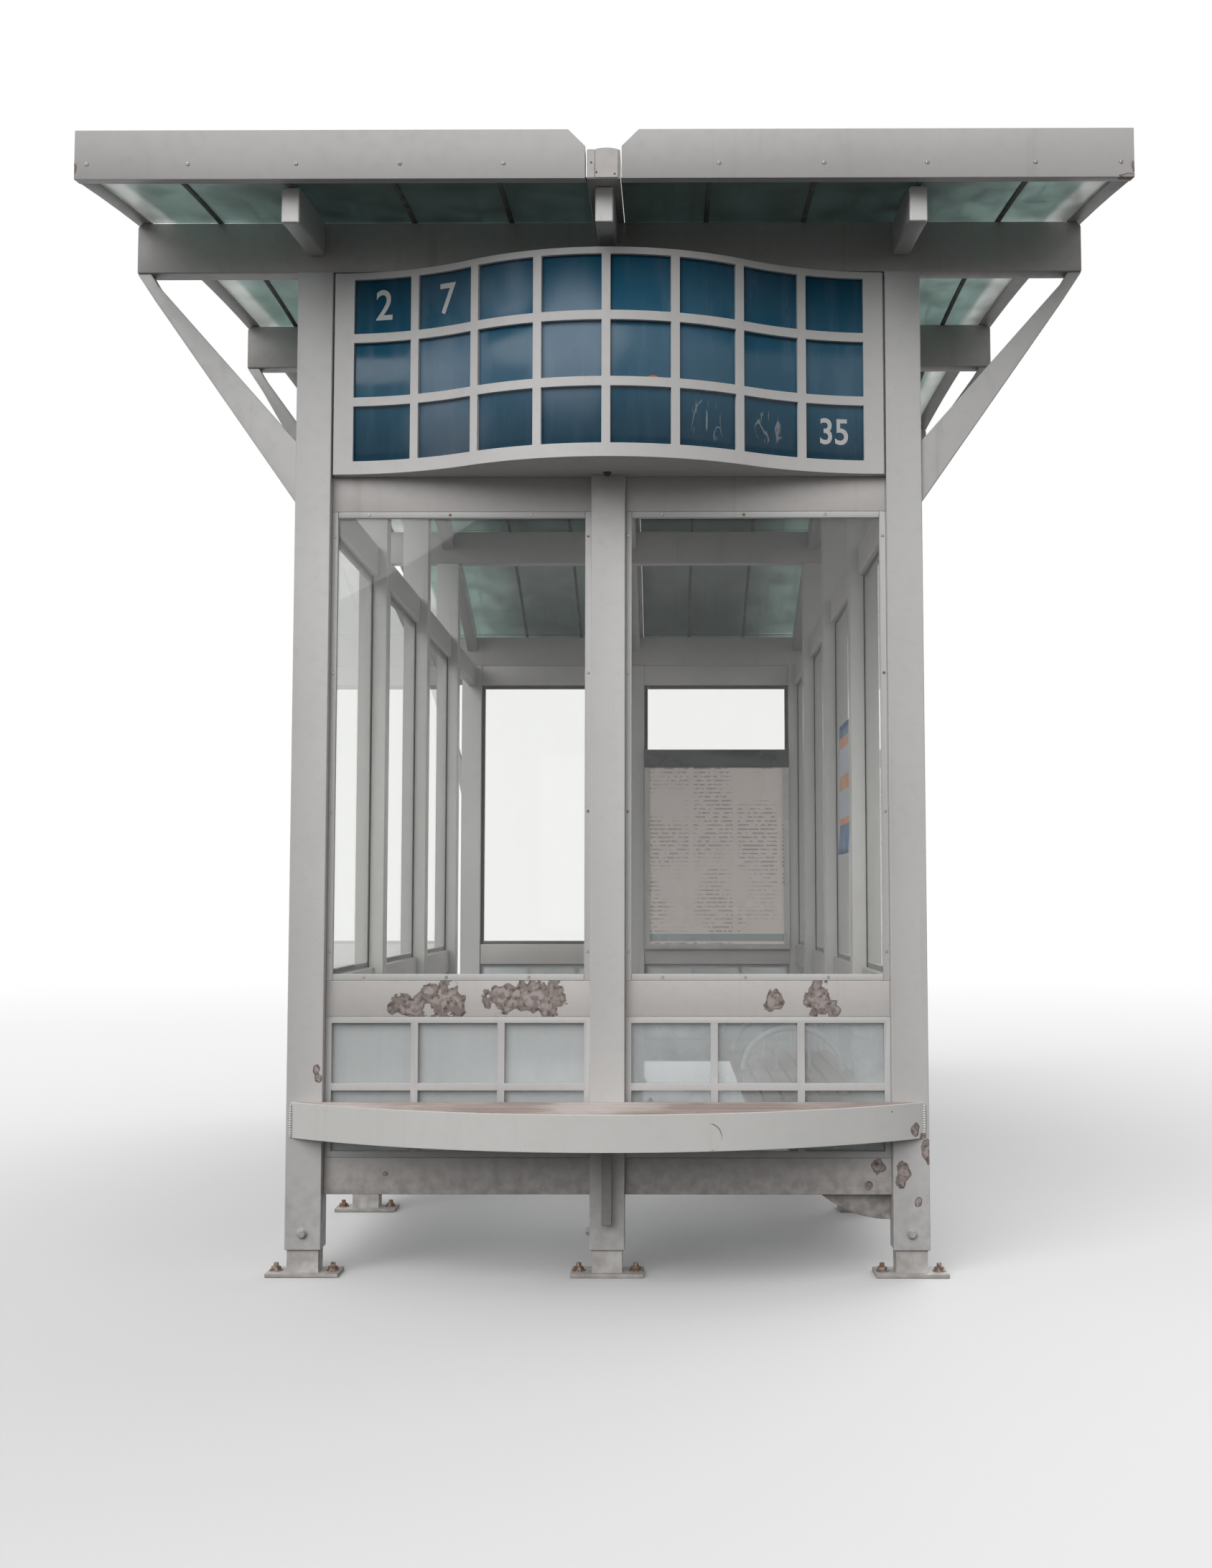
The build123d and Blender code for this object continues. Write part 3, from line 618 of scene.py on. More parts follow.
def drawn_in(piece, room):
    """Takes the outer fold of an end sheet in, evenly, so that a screw's head has room before
    it: what lies within the fold's depth of the end is scaled to the depth less the room."""
    flat = np.empty(len(piece.data.vertices) * 3)
    piece.data.vertices.foreach_get("co", flat)
    y = flat[1::3]
    past = np.clip(np.abs(y) - (cad_high.y - fascia_fold), 0, None)
    flat[1::3] = y - np.sign(y) * past * room / fascia_fold
    piece.data.vertices.foreach_set("co", flat)
    piece.data.update()


for node in ("left_fascia", "right_fascia"):
    eased_copy(node, 0.0015, fascia_paint, "grey_paint")
for node in ("front_fascia", "back_fascia"):
    drawn_in(eased_copy(node, 0.0015, fascia_paint, "grey_paint"), screw_height)

front_low, front_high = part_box("front_fascia")
back_low, back_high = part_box("back_fascia")
back_reach = back_high.x / front_high.x
screw_y = front_low.y + screw_height
screw = turned([(1, -0.002), (1, 0), (0.75, 0.0024), (0.35, 0.003), (0.30, 0.0012)], 14, 0.0058)
screw_places = [((x, screw_y, front_low.z + screw_rise), (0, -1, 0)) for x in screw_xs]
back_z = back_low.z + screw_rise
screw_places += [((x * back_reach, -screw_y, back_z), (0, 1, 0)) for x in screw_xs]
screw_zinc = zinc_coat("screw_zinc", 0.35)
new_piece("fascia_screws", stamped(screw, screw_places), screw_zinc, "grey_paint")


# Gutter: an open trough of folded sheet along the crown. A strip and a loose cover plate
# with a rounded top are screwed over each end, and their screws have rusted.
gutter_paint = paint_coat("gutter_paint", (0.30, 0.29, 0.28), soil=0.9)
end_cover_room = 0.006
cover_thickness, strip_thickness = 0.003, 0.0015
cover_left, cover_right, cover_rise = -0.0215, 0.0385, 0.004
strip_left, strip_right = -0.0425, -0.0235
cover_foot, cover_top = 0.003, 0.080
cover_screws = [(-0.0185, 0.0165), (0.0300, 0.0125)]
strip_screw = (-0.0325, 0.0440)
cover_y = front_low.y + end_cover_room - cover_thickness
strip_y = front_low.y + end_cover_room - strip_thickness
roof_fall = back_low.z - front_low.z
drawn_in(eased_copy("gutter", 0.001, gutter_paint, "grey_paint"), end_cover_room)


def end_plate(left, right, rise, y, thickness):
    """A plate with a rounded top: a half wave between its upper corners, and its outline
    repeated a thickness further back."""
    across = np.linspace(right, left, 9)
    crown = cover_top + rise * np.sin(np.pi * (across - left) / (right - left))
    x = np.concatenate([[left, right], across])
    z = np.concatenate([[cover_foot, cover_foot], crown]) + front_low.z
    count = len(x)
    front = np.stack([x, np.full(count, y), z], axis=1)
    ring = np.arange(count)
    ahead = (ring + 1) % count
    sides = np.stack([ring + count, ahead + count, ahead, ring], axis=1).tolist()
    faces = [ring.tolist(), (ring[::-1] + count).tolist(), *sides]
    return np.concatenate([front, front + (0, thickness, 0)]), faces


def at_end(end, shape, rise=0.0):
    """The shape as it is at the front; at the back, mirrored and raised, its faces turned."""
    if end == "front":
        return shape
    points, faces = shape
    return points * (1, -1, 1) + (0, 0, rise), [face[::-1] for face in faces]


cover_paint = paint_coat("cover_paint", (0.42, 0.40, 0.385), soil=0.9, wear=1.6)
small_screw = turned([(0.0030, -0.002), (0.0030, 0), (0.0022, 0.0012), (0.0008, 0.0014)], 10)
rusty_screw = zinc_coat("rusty_screw", 0.9)
heads = [((x, cover_y, front_low.z + z), (0, -1, 0)) for x, z in cover_screws]
heads.append(((strip_screw[0], strip_y, front_low.z + strip_screw[1]), (0, -1, 0)))
cover = end_plate(cover_left, cover_right, cover_rise, cover_y, cover_thickness)
strip = end_plate(strip_left, strip_right, 0, strip_y, strip_thickness)
gutter_ends = (
    ("gutter_cover", cover, cover_paint, False),
    ("gutter_strip", strip, cover_paint, False),
    ("cover_screws", stamped(small_screw, heads), rusty_screw, True),
)
for end in ("front", "back"):
    for name, shape, coat, smooth in gutter_ends:
        shape = at_end(end, shape, roof_fall)
        new_piece(f"{end}_{name}", shape, coat, "grey_paint", smooth=smooth)


# Rails: flat steel tubes between the posts at sill, seat and head height, welded in before they
# were painted. The seat rail has peeled where it is knocked, and the sill is splashed and darkened
# further low down, which is painted shade under the bench.
rail_chips = [
    (0.763, -1.97, 0.300, 0.030, 0.030),
    (0.733, -1.97, 0.243, 0.014, 0.016),
    (-0.625, -1.97, 0.278, 0.012, 0.010),
    (-0.560, -1.97, 0.745, 0.075, 0.042),
    (-0.470, -1.97, 0.765, 0.085, 0.070),
    (-0.290, -1.97, 0.765, 0.080, 0.050),
    (-0.200, -1.97, 0.770, 0.110, 0.075),
    (0.472, -1.97, 0.768, 0.036, 0.050),
    (0.600, -1.97, 0.768, 0.050, 0.062),
    (0.640, -1.97, 0.728, 0.022, 0.022),
]
rail_tone = (0.450, 0.430, 0.418)
rail_paint = paint_coat("rail_paint", rail_tone, soil=0.5, chips=rail_chips, splash_and_shade_share=1.9)
walls = ("front", "back", "left", "right")
for wall in walls:
    eased_copy(f"{wall}_rails", 0.003, rail_paint, "grey_paint")


# Glazing frames: square steel bars that hold the panes against the rails from outside, with
# a row of small dull screws through each.
stop_paint = paint_coat("stop_paint", (0.46, 0.455, 0.45), soil=0.4)
for wall in walls:
    eased_copy(f"{wall}_glazing_frames", 0.0015, stop_paint, "grey_paint")

stop_width = 0.018
lowest_screw, highest_screw = 0.073, 0.062
level_shares = (0.142, 0.455, 0.768)
stop_low, stop_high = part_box("front_glazing_frames")
pane_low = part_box("front_upper_glass")[0].z
level_zs = (pane_low + stop_width / 2, stop_high.z - stop_width / 2)
upright_zs = np.linspace(level_zs[0] + lowest_screw, level_zs[1] - highest_screw, 4)
side_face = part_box("right_glazing_frames")[1].x
end_bays = [(-post_inner_x, -middle_high.x), (middle_high.x, post_inner_x)]
side_bays = [(a + post_depth / 2, b - post_depth / 2) for a, b in zip(post_ys, post_ys[1:])]
left_bays = side_bays[:3]


def bay_screws(start, end, place):
    """Screws round one bay's upper pane: three along each level stop, by shares of the bay,
    and four up each upright stop. The place function puts a run and a height on the wall."""
    low, high = start + stop_width / 2, end - stop_width / 2
    found = [place(start + (end - start) * share, z) for share in level_shares for z in level_zs]
    return found + [place(run, z) for run in (low, high) for z in upright_zs]


stop_places = []
for low, high in end_bays:
    stop_places += bay_screws(low, high, lambda run, z: ((run, stop_low.y, z), (0, -1, 0)))
    stop_places += bay_screws(low, high, lambda run, z: ((run, -stop_low.y, z), (0, 1, 0)))
for side, bays in ((1, side_bays), (-1, left_bays)):
    x = side * side_face
    for low, high in bays:
        stop_places += bay_screws(low, high, lambda run, z: ((x, run, z), (side, 0, 0)))
stop_screw = turned([(0.0045, -0.002), (0.0045, 0.0004), (0.0036, 0.0016), (0.0012, 0.0018)], 10)
dull_screw = zinc_coat("dull_screw", 0.40)
new_piece("stop_screws", stamped(stop_screw, stop_places), dull_screw, "grey_paint")


# Wall glass: toughened panes, clear above the seat rail and frosted below it. Dust has dried
# on them in runs, and one frosted pane has been wiped.
clear_tint, clear_shade = (0.945, 0.950, 0.940), (0.76, 0.76, 0.75)
frosted_tint = (0.72, 0.755, 0.76)
dust_tone = (0.50, 0.50, 0.49)
frost_tone = (0.385, 0.40, 0.40)
wiped_panes = [(0.58, -1.951, 0.52, 0.80, 0.50)]


def wall_glass_coat(name, tint, shade, roughness, haze, haze_tone, ior, wiped=()):
    """Glass under a film that is a little thicker in clouds and in runs down the pane, and thin
    and clearer where it has been wiped."""
    material, where = new_material(name)
    film = between(noise(where, 4, 7), 0.20, 0.80)
    runs = between(noise(where, 1.0, 5, (18, 18, 1.4)), 0.20, 0.90)
    cover = plus(times(film, 0.30), times(runs, 0.25), 0.38)
    if wiped:
        rubbed = between(noise(where, 3.0, 5), 0.25, 0.60)
        clean = times(between(near(where, wiped), 0.0, 0.5), rubbed)
        cover = times(cover, less(1.0, times(clean, 0.65)))
        roughness = less(roughness, times(clean, roughness * 0.8))
    dirt = times(cover, haze)
    return pane_coat(material, mixed(dirt, tint, haze_tone), shade, roughness, dirt, ior)


clear_glass = wall_glass_coat("clear_glass", clear_tint, clear_shade, 0.0, 0.02, dust_tone, 1.25)
frosted_glass = wall_glass_coat(
    "frosted_glass", frosted_tint, frosted_tint, 0.14, 1.0, frost_tone, 1.40, wiped_panes
)
for wall in walls:
    finish_node(f"{wall}_upper_glass", clear_glass)
    finish_node(f"{wall}_lower_glass", frosted_glass)


# Seals: black rubber beads on the room side, pressed in along the upright edges of the side
# walls' clear panes.
seal_wide, seal_deep = 0.008, 0.004
seal_overlap = 0.001
seal_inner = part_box("right_glazing_frames")[0].x


def block(low, high):
    """A box between two corners, in whichever order."""
    x, y, z = [sorted(pair) for pair in zip(low, high)]
    points = np.array([(a, b, c) for c in z for b in y for a in x], float)
    faces = [[0, 2, 3, 1], [4, 5, 7, 6], [0, 1, 5, 4], [2, 6, 7, 3], [0, 4, 6, 2], [1, 3, 7, 5]]
    return points, faces


seal_shapes = []
for side, bays in ((1, side_bays), (-1, left_bays)):
    for low, high in bays:
        for y in (low, high - seal_deep):
            inner = (side * (seal_inner - seal_wide), y, pane_low)
            outer = (side * (seal_inner + seal_overlap), y + seal_deep, stop_high.z)
            seal_shapes.append(block(inner, outer))
seals = new_piece("pane_seals", together(*seal_shapes), dark_rubber, "dark_strip", smooth=False)
ease_edges(seals, 0.001)


# Sign: a steel panel bowed in four tangent arcs, with 24 openings, on a folded case, and a
# glossy blue sheet behind it. Two cells and the last one hold cut-out figures.
panel_thickness = 0.012
cell_sheet_thickness = 0.004
case_sheet = 0.004
cell_size = (0.170, 0.160)
cell_gap = (0.025, 0.027)
cell_columns, cell_rows = 8, 3
cell_margin = 0.039
bow_step, sheet_step = 0.035, 0.03
sheet_inset, sheet_gap, sheet_room = 0.02, 0.0005, 0.001
blue_tone, blue_dust = (0.013, 0.082, 0.140), (0.30, 0.36, 0.44)
scratch_tone, speck_tone = (0.42, 0.46, 0.48), (0.60, 0.16, 0.05)
sign_low, sign_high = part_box("front_sign")
sign_half = sign_high.x
sign_height = sign_high.z - sign_low.z
sign_bulge = face_y - sign_low.y
bow_radius = (sign_half**2 + sign_bulge**2) / (4 * sign_bulge)
bow_turn = math.asin(sign_half / 2 / bow_radius)
bow_length = 4 * bow_turn * bow_radius


def bow(run, depth):
    """Place on the bowed face by length along it, moved back by depth: two arcs that turn in
    at the ends and two that turn out at the middle, all of one radius."""
    back = np.minimum(run, bow_length - run) / bow_radius
    turn = np.where(back < bow_turn, back, 2 * bow_turn - back)
    end_x = -sign_half + (bow_radius + depth) * np.sin(turn)
    end_y = bow_radius - (bow_radius + depth) * np.cos(turn)
    mid_x = -(bow_radius - depth) * np.sin(turn)
    mid_y = sign_bulge - bow_radius + (bow_radius - depth) * np.cos(turn)
    x = np.where(back < bow_turn, end_x, mid_x)
    y = np.where(back < bow_turn, end_y, mid_y)
    return np.where(run > bow_length / 2, -x, x), face_y - y


def stations(edges, step):
    """The edges in order, with even stops between them no further apart than step."""
    runs = []
    for start, end in zip(edges, edges[1:]):
        stops = max(1, math.ceil((end - start) / step))
        runs.append(np.linspace(start, end, stops + 1)[:-1])
    return np.append(np.concatenate(runs), edges[-1])


def grid(x, y, z, keep=None):
    """Quads over rows and columns of points, leaving out those not kept. Each of x, y and z is
    given once, by row, by column or by point."""
    points = np.stack(np.broadcast_arrays(x, y, z), axis=2)
    rows, columns = points.shape[:2]
    corner = np.arange(rows - 1)[:, None] * columns + np.arange(columns - 1)
    quads = np.stack([corner, corner + 1, corner + columns + 1, corner + columns], axis=2)
    quads = quads.reshape(-1, 4) if keep is None else quads[keep]
    return points.reshape(-1, 3), quads.tolist()


def cell_edges(count, size, gap, start):
    """Both edges of each cell in a row of even cells."""
    first = start + np.arange(count) * (size + gap)
    return np.stack([first, first + size], axis=1)


cell_start = (bow_length - cell_columns * cell_size[0] - (cell_columns - 1) * cell_gap[0]) / 2
cell_runs = cell_edges(cell_columns, cell_size[0], cell_gap[0], cell_start)
cell_heights = cell_edges(cell_rows, cell_size[1], cell_gap[1], cell_margin)


def in_cells(edges, cells):
    """Whether the middle of each step from edge to edge is in a cell."""
    middle = (edges[1:] + edges[:-1]) / 2
    return sum((middle > low) & (middle < high) for low, high in cells) > 0


def sign_panel():
    """The bowed face as a grid by length along it and height, with the cells left out."""
    runs = stations([0, *cell_runs.ravel(), bow_length], bow_step)
    heights = np.array([0, *cell_heights.ravel(), sign_height])
    opening = in_cells(heights, cell_heights)[:, None] & in_cells(runs, cell_runs)
    return grid(*bow(runs, 0.0), heights[:, None] + sign_low.z, ~opening)


def sign_case():
    """The folded case: from the panel's back along the bottom, up the back and along the top,
    as a profile carried along the bow, with its ends closed."""
    x, y = bow(stations([0, bow_length], bow_step), panel_thickness)
    back = np.full(len(x), sign_high.y)
    z = np.array([sign_low.z, sign_low.z, sign_high.z, sign_high.z])[:, None]
    points, faces = grid(np.clip(x, -sign_half, sign_half), np.stack([y, back, back, y]), z)
    corners = np.arange(4) * len(x)
    ends = [corners.tolist(), (corners[::-1] + len(x) - 1).tolist()]
    return points, [face[::-1] for face in faces] + ends


def cell_sheet():
    """The coloured sheet as a grid along the bow, close behind the panel."""
    runs = stations([sheet_inset, bow_length - sheet_inset], sheet_step)
    room = case_sheet + sheet_room
    z = np.array([[sign_low.z + room], [sign_high.z - room]])
    return grid(*bow(runs, panel_thickness + sheet_gap), z)


def thicken(piece, thickness):
    """Gives a surface its thickness, behind the side that it faces."""
    solid = piece.modifiers.new("thickness", "SOLIDIFY")
    solid.thickness = thickness
    solid.offset = -1
    return piece


def cell_centre(column, row):
    """Middle of a cell, counted from the left and from the top, on the panel's back."""
    x, y = bow(cell_runs[column].mean(), panel_thickness)
    return float(x), float(y), sign_low.z + cell_heights[-1 - row].mean()


speck_x, speck_y, speck_z = cell_centre(4, 1)
speck_spot = (speck_x + 0.035, speck_y + 0.004, speck_z - cell_size[1] / 2 + 0.004, 0.020, 0.006)
scratch_spots = [(*cell_centre(5, 2), 0.075, 0.075), (*cell_centre(6, 2), 0.060, 0.060)]
# Pale patches over four cells on the left, which are painted reflection.
reflection_spots = [
    (*cell_centre(1, 1), 0.16, 0.42),
    (*cell_centre(1, 2), 0.18, 0.16),
    (*cell_centre(2, 0), 0.12, 0.12),
    (*cell_centre(3, 1), 0.15, 0.30),
]


def blue_coat(name):
    """Glossy blue sheet with a film of dust, faint wipe marks and scratches in two cells, and pale
    rough patches over four cells on the left that are a painted reflection.
    """
    material, where = new_material(name)
    dust = between(noise(where, 2.3, 6), 0.40, 0.75)
    streak = between(noise(where, 1.0, 5, (22, 22, 3)), 0.45, 0.8)
    wide_dust = between(noise(where, 2.0, 4), 0.25, 0.65)
    reflection_patches = times(between(near(where, reflection_spots), 0.0, 0.6), wide_dust)
    haze = plus(times(plus(dust, streak), 0.10), times(reflection_patches, 0.50))
    contour = less(noise(where, 11, 2, (1.6, 1.6, 0.7)), 0.5)
    loops = between(figure("ABSOLUTE", contour), 0.020, 0.008)
    lines = between(noise(where, 1.0, 5, (150, 150, 9)), 0.61, 0.66)
    scratched = between(near(where, scratch_spots), 0.12, 0.4)
    marks = times(figure("MAXIMUM", lines, times(loops, 0.8)), scratched)
    colour = mixed(marks, mixed(haze, blue_tone, blue_dust), scratch_tone)
    colour = mixed(between(near(where, [speck_spot]), 0.2, 0.5), colour, speck_tone)
    rough = plus(times(haze, 1.2), 0.17, times(marks, 0.5))
    wave = bump_of(noise(where, 5, 2), 0.15, 0.004)
    return coated(material, colour, rough, wave, {"Specular IOR Level": 0.30})


sign_paint = paint_coat("sign_paint", (0.50, 0.492, 0.485), soil=0.3, wear=0.4)
blue_sheet = blue_coat("blue_sheet")
panel = new_piece("sign_panel", sign_panel(), sign_paint, "grey_paint", ("front_sign",))
ease_edges(thicken(panel, panel_thickness), 0.0012)
case = new_piece("sign_case", sign_case(), sign_paint, "grey_paint", ("front_sign",))
ease_edges(thicken(case, case_sheet), 0.0015)
cells = new_piece("sign_sheet", cell_sheet(), blue_sheet, "blue_panel", ("front_sign_cells",))
thicken(cells, cell_sheet_thickness)


# Sign plug: a dark rubber plug with a flange, pushed into the hole for a cable in the middle
# of the sign's underside.
plug = turned([(0.012, 0), (0.012, 0.002), (0.009, 0.003), (0.009, 0.008), (0.006, 0.010)], 20)
plug_place = ((-0.002, face_y - 0.022, sign_low.z), (0, 0, -1))
new_piece("sign_plug", stamped(plug, [plug_place]), dark_rubber, "dark_strip")


# Sign figures: cut out of pale film and stuck on the blue sheet in three of the cells.
film_thickness, stroke_gain = 0.0008, 0.0015
figure_width = 0.86
film_gap = 0.0003
figure_film = paint_coat("figure_film", (0.48, 0.48, 0.48), soil=0.3, wear=0)


def figures(text, column, row, height, name):
    """Cut-out figures laid on the blue sheet: flat type, bent to the bow by its own width."""
    curve = bpy.data.curves.new(name, "FONT")
    curve.body = text
    curve.size = height
    curve.align_x = "CENTER"
    curve.align_y = "CENTER"
    curve.extrude = film_thickness / 2
    curve.offset = stroke_gain
    holder = placed_object(name, curve)
    bpy.context.view_layer.update()
    graph = bpy.context.evaluated_depsgraph_get()
    mesh = bpy.data.meshes.new_from_object(holder.evaluated_get(graph))
    bpy.data.objects.remove(holder)
    flat = np.empty(len(mesh.vertices) * 3)
    mesh.vertices.foreach_get("co", flat)
    across, up, out = flat.reshape(-1, 3).T
    run = cell_runs[column].mean() + across * figure_width
    x, y = bow(run, panel_thickness - out - film_gap)
    bent = np.stack([x, y, cell_centre(column, row)[2] + up], axis=1)
    mesh.vertices.foreach_set("co", bent.ravel())
    mesh.update()
    return dress(placed_object(name, mesh), figure_film, "grey_paint")


figures("2", 0, 0, 0.125, "sign_figure_1")
figures("7", 1, 0, 0.125, "sign_figure_2")
figures("35", 7, 2, 0.105, "sign_figure_3")


# End benches: a curved steel apron welded to the corner posts, a ledge inside it that the
# slats rest on, and a bracket from the middle post.
bench_low, bench_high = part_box("front_bench_frame")
bench_half = bench_high.x
bench_bulge = bench_high.y - bench_low.y
apron_low, apron_high = 0.381, bench_high.z
apron_thickness = 0.008
ledge_width, ledge_thickness, ledge_top = 0.025, 0.004, 0.456
bracket_half, bracket_depth = 0.014, 0.040
bracket_low, arm_low = 0.148, 0.406
arm_inset, arm_gap = 0.001, 0.005
weld_radius, weld_length, weld_ripples = 0.0045, 0.092, 14


def bench_arc(inset, count=64):
    """Points of the seat's curved edge, moved in by an inset: one arc from post to post."""
    half, rise = bench_half - inset, bench_bulge - inset
    radius = (half**2 + rise**2) / (2 * rise)
    turn = np.linspace(-math.asin(half / radius), math.asin(half / radius), count)
    return radius * np.sin(turn), bench_high.y - radius * np.cos(turn) + (radius - rise)


def weld_bead(foot):
    """A weld up a corner: a tube that swells with each ripple and narrows at its ends."""
    along = np.linspace(0, 1, 60)
    ends = np.sin(np.pi * np.clip(along, 0.01, 0.99)) ** 0.15
    radii = weld_radius * (1 + 0.18 * np.sin(along * 2 * np.pi * weld_ripples)) * ends
    points, faces = turned(np.stack([radii, along * weld_length], axis=1), 10)
    return points + np.array(foot), faces


apron_chips = [
    (0.793, -2.07, 0.462, 0.014, 0.012),
    (0.858, -2.02, 0.409, 0.020, 0.022),
    (0.882, -2.01, 0.390, 0.012, 0.016),
]
apron_scuff = (0.279, -2.262, 0.419, 0.037)
apron_tone = (0.51, 0.505, 0.49)
apron_paint = paint_coat("apron_paint", apron_tone, soil=0.3, chips=apron_chips, scuff=apron_scuff)
# The ledge and bracket under the seat take a much darker paint, which is painted shade under the
# slats.
shaded_bracket_paint = paint_coat("shaded_bracket_paint", (0.20, 0.195, 0.19), soil=0.9)
apron_shape = grid(*bench_arc(0), np.array([[apron_low], [apron_high]]))
outer_edge, inner_edge = bench_arc(apron_thickness), bench_arc(apron_thickness + ledge_width)
ledge_shape = grid(*np.stack([outer_edge, inner_edge], axis=1), ledge_top)
bracket_shape = together(
    block(
        (-bracket_half, bench_high.y - bracket_depth, bracket_low),
        (bracket_half, bench_high.y, ledge_top),
    ),
    block(
        (arm_inset - bracket_half, bench_low.y + arm_gap, arm_low),
        (bracket_half - arm_inset, bench_high.y, ledge_top - arm_inset),
    ),
)
weld_x, weld_y, weld_z = bench_half - 0.001, bench_high.y - 0.004, apron_low + 0.003
weld_shape = together(*[weld_bead((side * weld_x, weld_y, weld_z)) for side in (-1, 1)])
for end in ("front", "back"):
    pieces = [
        new_piece(
            f"{end}_bench_{name}",
            at_end(end, shape),
            coat,
            "grey_paint",
            (f"{end}_bench_frame",),
            smooth=name != "bracket",
        )
        for name, shape, coat in (
            ("apron", apron_shape, apron_paint),
            ("ledge", ledge_shape, shaded_bracket_paint),
            ("bracket", bracket_shape, shaded_bracket_paint),
        )
    ]
    ease_edges(thicken(pieces[0], apron_thickness), 0.002)
    thicken(pieces[1], ledge_thickness)
    ease_edges(pieces[2], 0.002)
    new_piece(f"{end}_bench_welds", at_end(end, weld_shape), apron_paint, "grey_paint")


# Slats: hardwood boards across the seat, cut to the apron's curve. Their oil has worn off in
# patches, so they are pale and pinkish there and brown elsewhere.
slat_pitch = 0.046
slat_tones = (0.25, 0.190, 0.170), (0.40, 0.325, 0.300), (0.54, 0.475, 0.450)


def timber_coat(name, pitch, across, dark, light, worn):
    """Hardwood whose boards follow each other across one axis, X or Y, and run along the other:
    each has its own tone, from noise by its number, and its grain is fine noise stretched
    along it."""
    material, where = new_material(name)
    tree = material.node_tree
    number = figure("FLOOR", figure("DIVIDE", axes_of(where)[across], pitch))
    chance = wire(tree, "TexWhiteNoise", {"W": number}, noise_dimensions="1D").outputs["Value"]
    shift = wire(tree, "CombineXYZ", {0: number, 1: number, 2: chance})
    moved = wire(tree, "VectorMath", {0: where, 1: shift}, operation="ADD").outputs[0]
    fibre, broad = [
        (fine, slow, fine) if across == "X" else (slow, fine, fine)
        for fine, slow in ((90, 3.0), (14, 0.8))
    ]
    grain = noise(moved, 3.2, 9, fibre)
    cracks = times(between(grain, 0.60, 0.72), 0.75)
    rubbed = times(between(noise(where, 3.1, 5), 0.38, 0.66), 0.75)
    colour = mixed(between(noise(moved, 2.0, 4, broad), 0.3, 0.7), dark, light)
    colour = mixed(times(chance, 0.45), colour, dark)
    colour = mixed(rubbed, colour, worn)
    colour = mixed(cracks, colour, tuple(c * 0.35 for c in dark))
    return coated(material, colour, 0.62, bump_of(grain, 0.45, 0.0016))


slat_timber = timber_coat("slat_timber", slat_pitch, "Y", *slat_tones)
for end in ("front", "back"):
    eased_copy(f"{end}_bench_slats", 0.0025, slat_timber, "bench_wood")


# Inner bench: slats along the right wall on two steel bearers, with quarter-round brackets
# on the posts and two bent-rod arm hoops.
inner_pitch = 0.056
inner_tones = (0.13, 0.065, 0.045), (0.24, 0.13, 0.10), (0.33, 0.24, 0.20)
inner_timber = timber_coat("inner_timber", inner_pitch, "X", *inner_tones)
eased_copy("inner_bench_slats", 0.0025, inner_timber, "bench_wood")
eased_copy("inner_bench_frame", 0.0015, rail_paint, "grey_paint")
# The hoops take the beams' darker paint, which is painted shade.
eased_copy("arm_hoops", 0.0005, shaded_beam_paint, "grey_paint")


# Notice board: a shallow steel case on the back wall with a raised border. It holds a plain
# sheet with a dark band across its top and faint ruled rows, and no words.
board_low, board_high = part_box("notice_board")
board_border, board_header, board_depth = 0.028, 0.094, 0.012
frame_tone = (0.42, 0.405, 0.395)
band_tone = (0.012, 0.014, 0.019)
sheet_tone = (0.70, 0.62, 0.595)
ink_tone = (0.16, 0.145, 0.145)
foot_band_tone = (0.30, 0.36, 0.35)
row_pitch, column_pitch = 0.021, 0.228
foot_band = (0.835, 0.872)
sharp_edge = 0.001


def within(value, low, high, blur):
    """1 between low and high and 0 outside them, with edges that blur outwards."""
    return times(between(value, low - blur, low), between(value, high + blur, high))


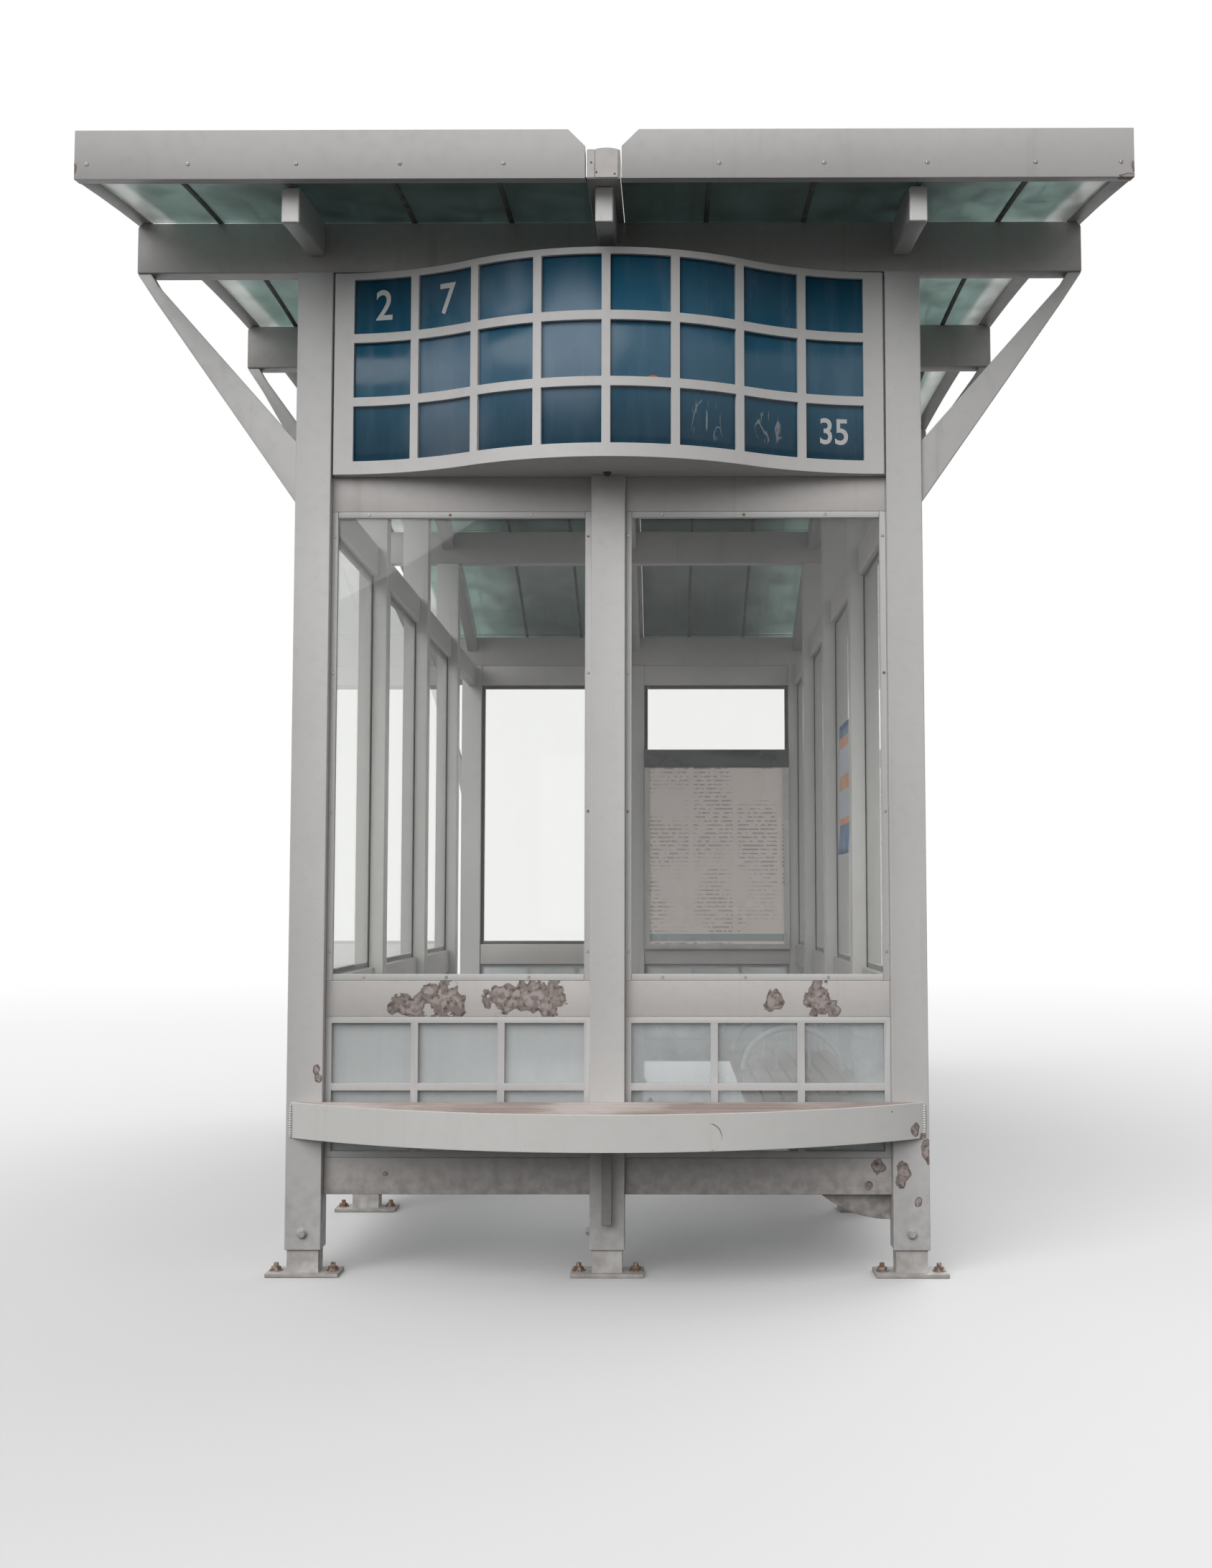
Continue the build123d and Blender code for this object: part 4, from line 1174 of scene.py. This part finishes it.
def board_coat(name):
    """Colour by place: a dark band along the top, a sheet below it with broken rows in columns
    and a green band by its foot, and a grey frame round both. A row is the lower share of each
    pitch of height, broken where noise along it is low."""
    material, where = new_material(name)
    x, y, z = axes_of(where)
    left, right = board_low.x + board_border, board_high.x - board_border
    foot, header = board_low.z + board_border, board_high.z - board_header
    room_y = board_high.y - board_depth
    room_side = between(y, room_y, room_y - sharp_edge)
    row = figure("FRACT", figure("DIVIDE", z, row_pitch))
    column = figure("FRACT", figure("DIVIDE", less(x, board_low.x), column_pitch))
    broken = between(noise(where, 1.0, 3, (48, 48, 53)), 0.44, 0.50)
    patchy = between(noise(where, 3.2, 2), 0.42, 0.56)
    ink = times(between(row, 0.40, 0.32), between(column, 0.10, 0.13), broken, patchy, 0.6)
    sheet = mixed(ink, sheet_tone, ink_tone)
    sheet = mixed(within(z, *foot_band, sharp_edge), sheet, foot_band_tone)
    inside = times(within(x, left, right, sharp_edge), between(z, foot - sharp_edge, foot))
    colour = mixed(times(inside, room_side), frame_tone, sheet)
    band = times(between(z, header, header + sharp_edge), room_side)
    dust = times(between(noise(where, 6, 6), 0.4, 0.8), 0.12)
    colour = mixed(dust, mixed(band, colour, band_tone), dust_tone)
    rough = plus(times(dust, 2.0), 0.22)
    return coated(material, colour, rough, bump_of(noise(where, 40), 0.05, 0.001))


eased_copy("notice_board", 0.0015, board_coat("board_sheet"), "board_panel")


# Poster: a small printed sheet stuck inside the right wall's glass, of plain bars on a blue
# ground, with no words. Its lower corners have come loose.
poster_low, poster_high = (-0.530, 1.222), (-0.170, 1.722)
poster_thickness, poster_gap = 0.0004, 0.0006
poster_field, field_edge = (1.336, 1.670), 0.002
bar_pitch = 0.163
curl_height, curl_depth = 0.12, 0.012
poster_blue = (0.022, 0.105, 0.260)
poster_pale = (0.42, 0.47, 0.54)
poster_orange = (0.62, 0.22, 0.06)


def poster_coat(name):
    """Blue ground, a pale field between two heights, and three orange bars in the field."""
    material, where = new_material(name)
    _, _, z = axes_of(where)
    field = within(z, *poster_field, field_edge)
    bars = times(between(figure("FRACT", figure("DIVIDE", z, bar_pitch)), 0.36, 0.34), field)
    colour = mixed(bars, mixed(field, poster_blue, poster_pale), poster_orange)
    faded = times(between(noise(where, 7, 5), 0.35, 0.75), 0.3)
    return coated(material, mixed(faded, colour, poster_pale), 0.5)


def poster_sheet():
    """A grid that curls off the glass by the square of how far it is below the curl's height,
    and by the fourth power of how far it is out to either side."""
    y = np.linspace(poster_low[0], poster_high[0], 13)[::-1]
    z = np.linspace(poster_low[1], poster_high[1], 17)[:, None]
    drop = np.clip((poster_low[1] + curl_height - z) / curl_height, 0, 1)
    side = np.abs(2 * (y - poster_low[0]) / (poster_high[0] - poster_low[0]) - 1)
    glass_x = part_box("right_upper_glass")[0].x
    return grid(glass_x - poster_gap - curl_depth * drop**2 * side**4, y, z)


poster = new_piece("wall_poster", poster_sheet(), poster_coat("poster_print"), "board_panel")
thicken(poster, poster_thickness)


# The box round what the scene now shows, beside the CAD box taken at the start.
low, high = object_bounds()
